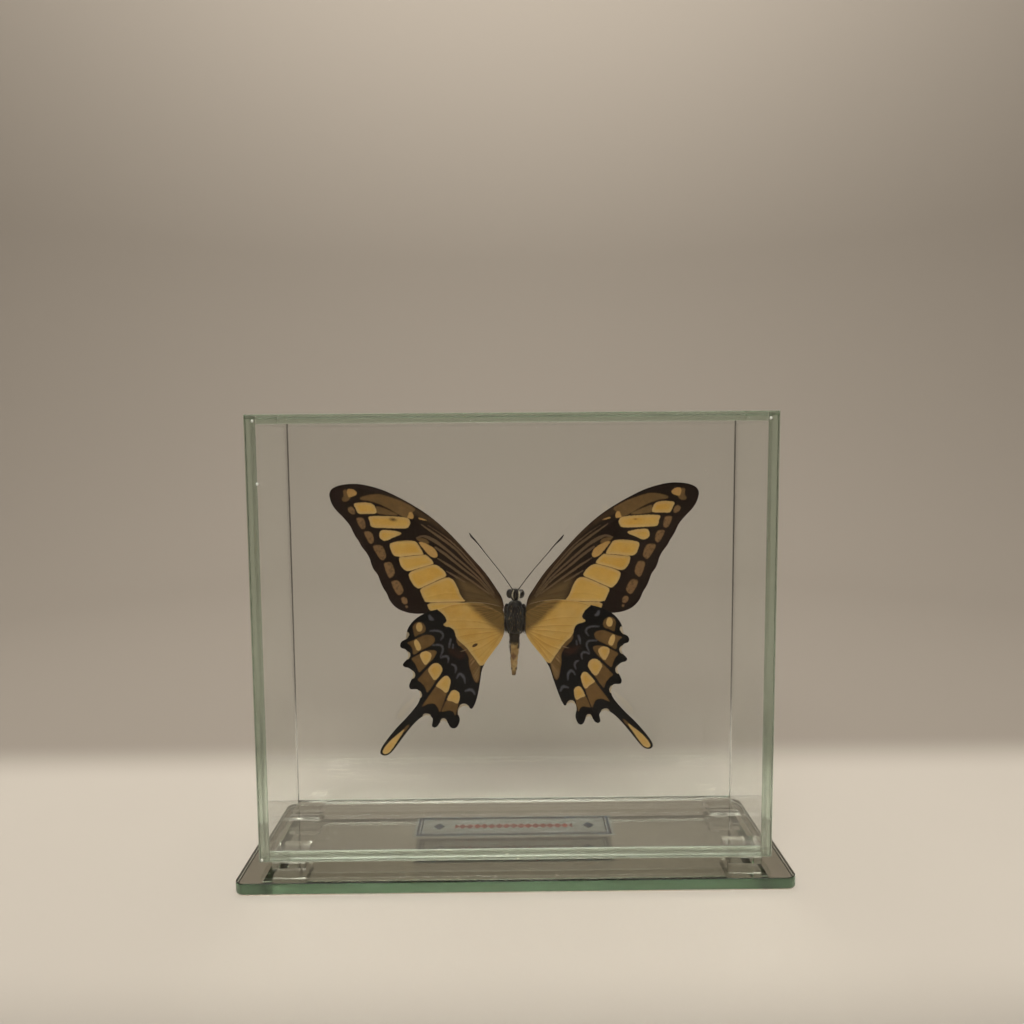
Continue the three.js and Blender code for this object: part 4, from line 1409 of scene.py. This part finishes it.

# %% [markdown]
# ## Glue and dust
#
# The panes are glued edge to edge. A few small beads of dried glue stand out near the corners. They
# are pale and opaque: partly the glue's own colour and partly a painted highlight for the glints
# they catch. Some grains of dust lie on the front pane and on the plate.

# %% Glue and dust
GLUE_BEADS = [(82.0, 151.7), (-82.2, 151.9), (-84.0, 7.6), (-81.3, 132.0)]
PANE_DUST = [(-33.1, 132.3), (61.5, 135.0), (-2.9, 8.8), (0.7, 7.2)]
PLATE_DUST = [(-36.0, -24.8), (-18.5, -27.0), (13.3, -25.9)]
PLATE_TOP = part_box("base_plate")[1].z / MM
PANE_FACE = front_low.y / MM

glue_work = bmesh.new()
for x, z in GLUE_BEADS:
    add_ball(glue_work, (x, PANE_FACE, z), (0.46, 0.22, 0.52), 16, 10)
glue = settle(glue_work, "glue_beads", Matrix.Scale(MM, 4))
soften(glue)

dust_work = bmesh.new()
for x, z in PANE_DUST:
    add_ball(dust_work, (x, PANE_FACE, z), (0.22, 0.08, 0.20), 10, 6)
for x, y in PLATE_DUST:
    add_ball(dust_work, (x, y, PLATE_TOP), (0.26, 0.22, 0.10), 10, 6)
dust = settle(dust_work, "dust_grains", Matrix.Scale(MM, 4))
soften(dust)

def grain_finish(name, dark, light, smooth):
    finish = Finish(name)
    cloud = finish.cloud(3000.0, 2.0)
    finish.surface(Base_Color=finish.blend(dark, light, cloud), Roughness=smooth + 0.15 * cloud)
    return finish.material

# The glue's pale, opaque colour is partly its own and partly a painted highlight that stands in for
# glints.
glue_with_painted_glint = grain_finish("dried_glue_painted_glint", paint(0.55, 0.58, 0.52), paint(0.80, 0.80, 0.74), 0.10)
dust_skin = grain_finish("dust", paint(0.30, 0.27, 0.22), paint(0.55, 0.50, 0.42), 0.70)
glue.data.materials.append(glue_with_painted_glint)
dust.data.materials.append(dust_skin)
print("glue beads:", len(GLUE_BEADS), "and dust grains:", len(PANE_DUST) + len(PLATE_DUST))

# %% [markdown]
# ## Floor, backdrop and light
#
# The room is a wide bowl: a pale floor that curves up into a wall all round, so that no hard line
# stands behind the glass from any side. A large soft lamp hangs above and in front of the box.
# Its light is kept to a cone, as with a grid on a soft box. The front pane mirrors the floor that
# lies well before it, so the floor and the low wall there are given a dark tone: painted shade that
# stands in for light falling off, so that the dark scales stay dark behind the glass. Behind the
# box the floor passes softly into the greyer tone of the wall, which a second lamp washes.

# %% Stage
FLOOR_RADIUS = 0.60
COVE_RADIUS = 0.45
WALL_TOP = 1.70
COVE_STEPS = 16
STAGE_STEPS = 96

def stage_profile():
    points = [(0.0, 0.0), (FLOOR_RADIUS, 0.0)]
    for index in range(1, COVE_STEPS + 1):
        angle = index / COVE_STEPS * math.pi / 2
        out = FLOOR_RADIUS + COVE_RADIUS * math.sin(angle)
        points.append((out, COVE_RADIUS * (1.0 - math.cos(angle))))
    points.append((FLOOR_RADIUS + COVE_RADIUS, WALL_TOP))
    return points

stage_work = spun(stage_profile(), 1.0, STAGE_STEPS)
bmesh.ops.reverse_faces(stage_work, faces=stage_work.faces[:])
stage_mesh = bpy.data.meshes.new("studio_bowl")
stage_work.to_mesh(stage_mesh)
stage_work.free()
bowl = bpy.data.objects.new("studio_bowl", stage_mesh)
bpy.context.scene.collection.objects.link(bowl)
bowl.data.shade_smooth()

# Painted shade: well in front of the box the floor and the low wall get a dark tone in place of
# light that falls off.
SHADE_FROM = 0.060
SHADE_TO = 0.150
SHADE_LOW = 0.12
SHADE_HIGH = 0.45
PAINTED_SHADE_TONE = paint(0.060, 0.054, 0.047)
WALL_TONE = paint(0.320, 0.288, 0.250)
WALL_FROM = 0.060
WALL_TO = 0.105
PALE_LOW = paint(0.545, 0.508, 0.454)
PALE_HIGH = paint(0.577, 0.540, 0.481)

floor_finish = Finish("pale_floor")
pale = floor_finish.blend(PALE_LOW, PALE_HIGH, floor_finish.cloud(9.0, 4.0))
_, floor_y, floor_z = floor_finish.split(floor_finish.place())
# Painted shade in front of the box, blended in by depth and kept to the low part by height.
painted_front_shade = (-1.0 * floor_y).step(SHADE_FROM, SHADE_TO)
behind = floor_y.step(WALL_FROM, WALL_TO)
toned = floor_finish.blend(pale, WALL_TONE, behind)
painted_shade_tone = floor_finish.blend(PAINTED_SHADE_TONE, WALL_TONE, floor_z.step(SHADE_LOW, SHADE_HIGH))
floor_finish.surface(
    Base_Color=floor_finish.blend(toned, painted_shade_tone, painted_front_shade),
    Roughness=0.9,
    Specular_IOR_Level=0.15,
)
bowl.data.materials.append(floor_finish.material)
print("stage radius:", FLOOR_RADIUS + COVE_RADIUS)

# %% Lights
def soft_lamp(name, place, aim, size, power, spread):
    lamp = bpy.data.lights.new(name, "AREA")
    lamp.shape = "RECTANGLE"
    lamp.size, lamp.size_y = size
    lamp.energy = power
    lamp.spread = math.radians(spread)
    lamp.color = (1.0, 0.96, 0.90)
    holder = bpy.data.objects.new(name, lamp)
    holder.location = place
    holder.rotation_euler = (Vector(aim) - Vector(place)).to_track_quat("-Z", "Y").to_euler()
    bpy.context.scene.collection.objects.link(holder)

soft_lamp(
    "soft_box", place=(-0.08, -0.71, 0.82), aim=(0.0, 0.02, 0.08),
    size=(1.15, 0.40), power=1.8, spread=50.0,
)
soft_lamp(
    "wall_wash", place=(0.0, 0.25, 1.30), aim=(0.0, 1.05, 0.75),
    size=(0.90, 0.30), power=7.2, spread=130.0,
)

ROOM_LIGHT = 1.42
world = bpy.data.worlds.new("room")
world.use_nodes = True
background = world.node_tree.nodes["Background"]
background.inputs["Color"].default_value = paint(1.0, 0.95, 0.88)
background.inputs["Strength"].default_value = ROOM_LIGHT
bpy.context.scene.world = world
bpy.context.scene.view_settings.view_transform = "Standard"
print("two soft lamps and a little of the room's own light")

# %% [markdown]
# Light that enters a pane at its edge is thrown from face to face many times before it leaves.
# The usual limit of a few mirror bounces would turn those edges black, so the limit is raised.
# The usual blur of light that reaches a matt surface through glass is turned off as well: it
# makes clear panes act as frosted ones, and the floor behind the box would lie in a deep shadow.

# %% Bounces inside the glass
light_paths = bpy.context.scene.cycles
light_paths.max_bounces = 18
light_paths.glossy_bounces = 12
light_paths.transmission_bounces = 16
light_paths.diffuse_bounces = 3
light_paths.blur_glossy = 0.0
print("mirror bounces allowed:", light_paths.glossy_bounces)

# %% [markdown]
# ## Last update
#
# The view layer is brought up to date once more.

# %% Finish
bpy.context.view_layer.update()
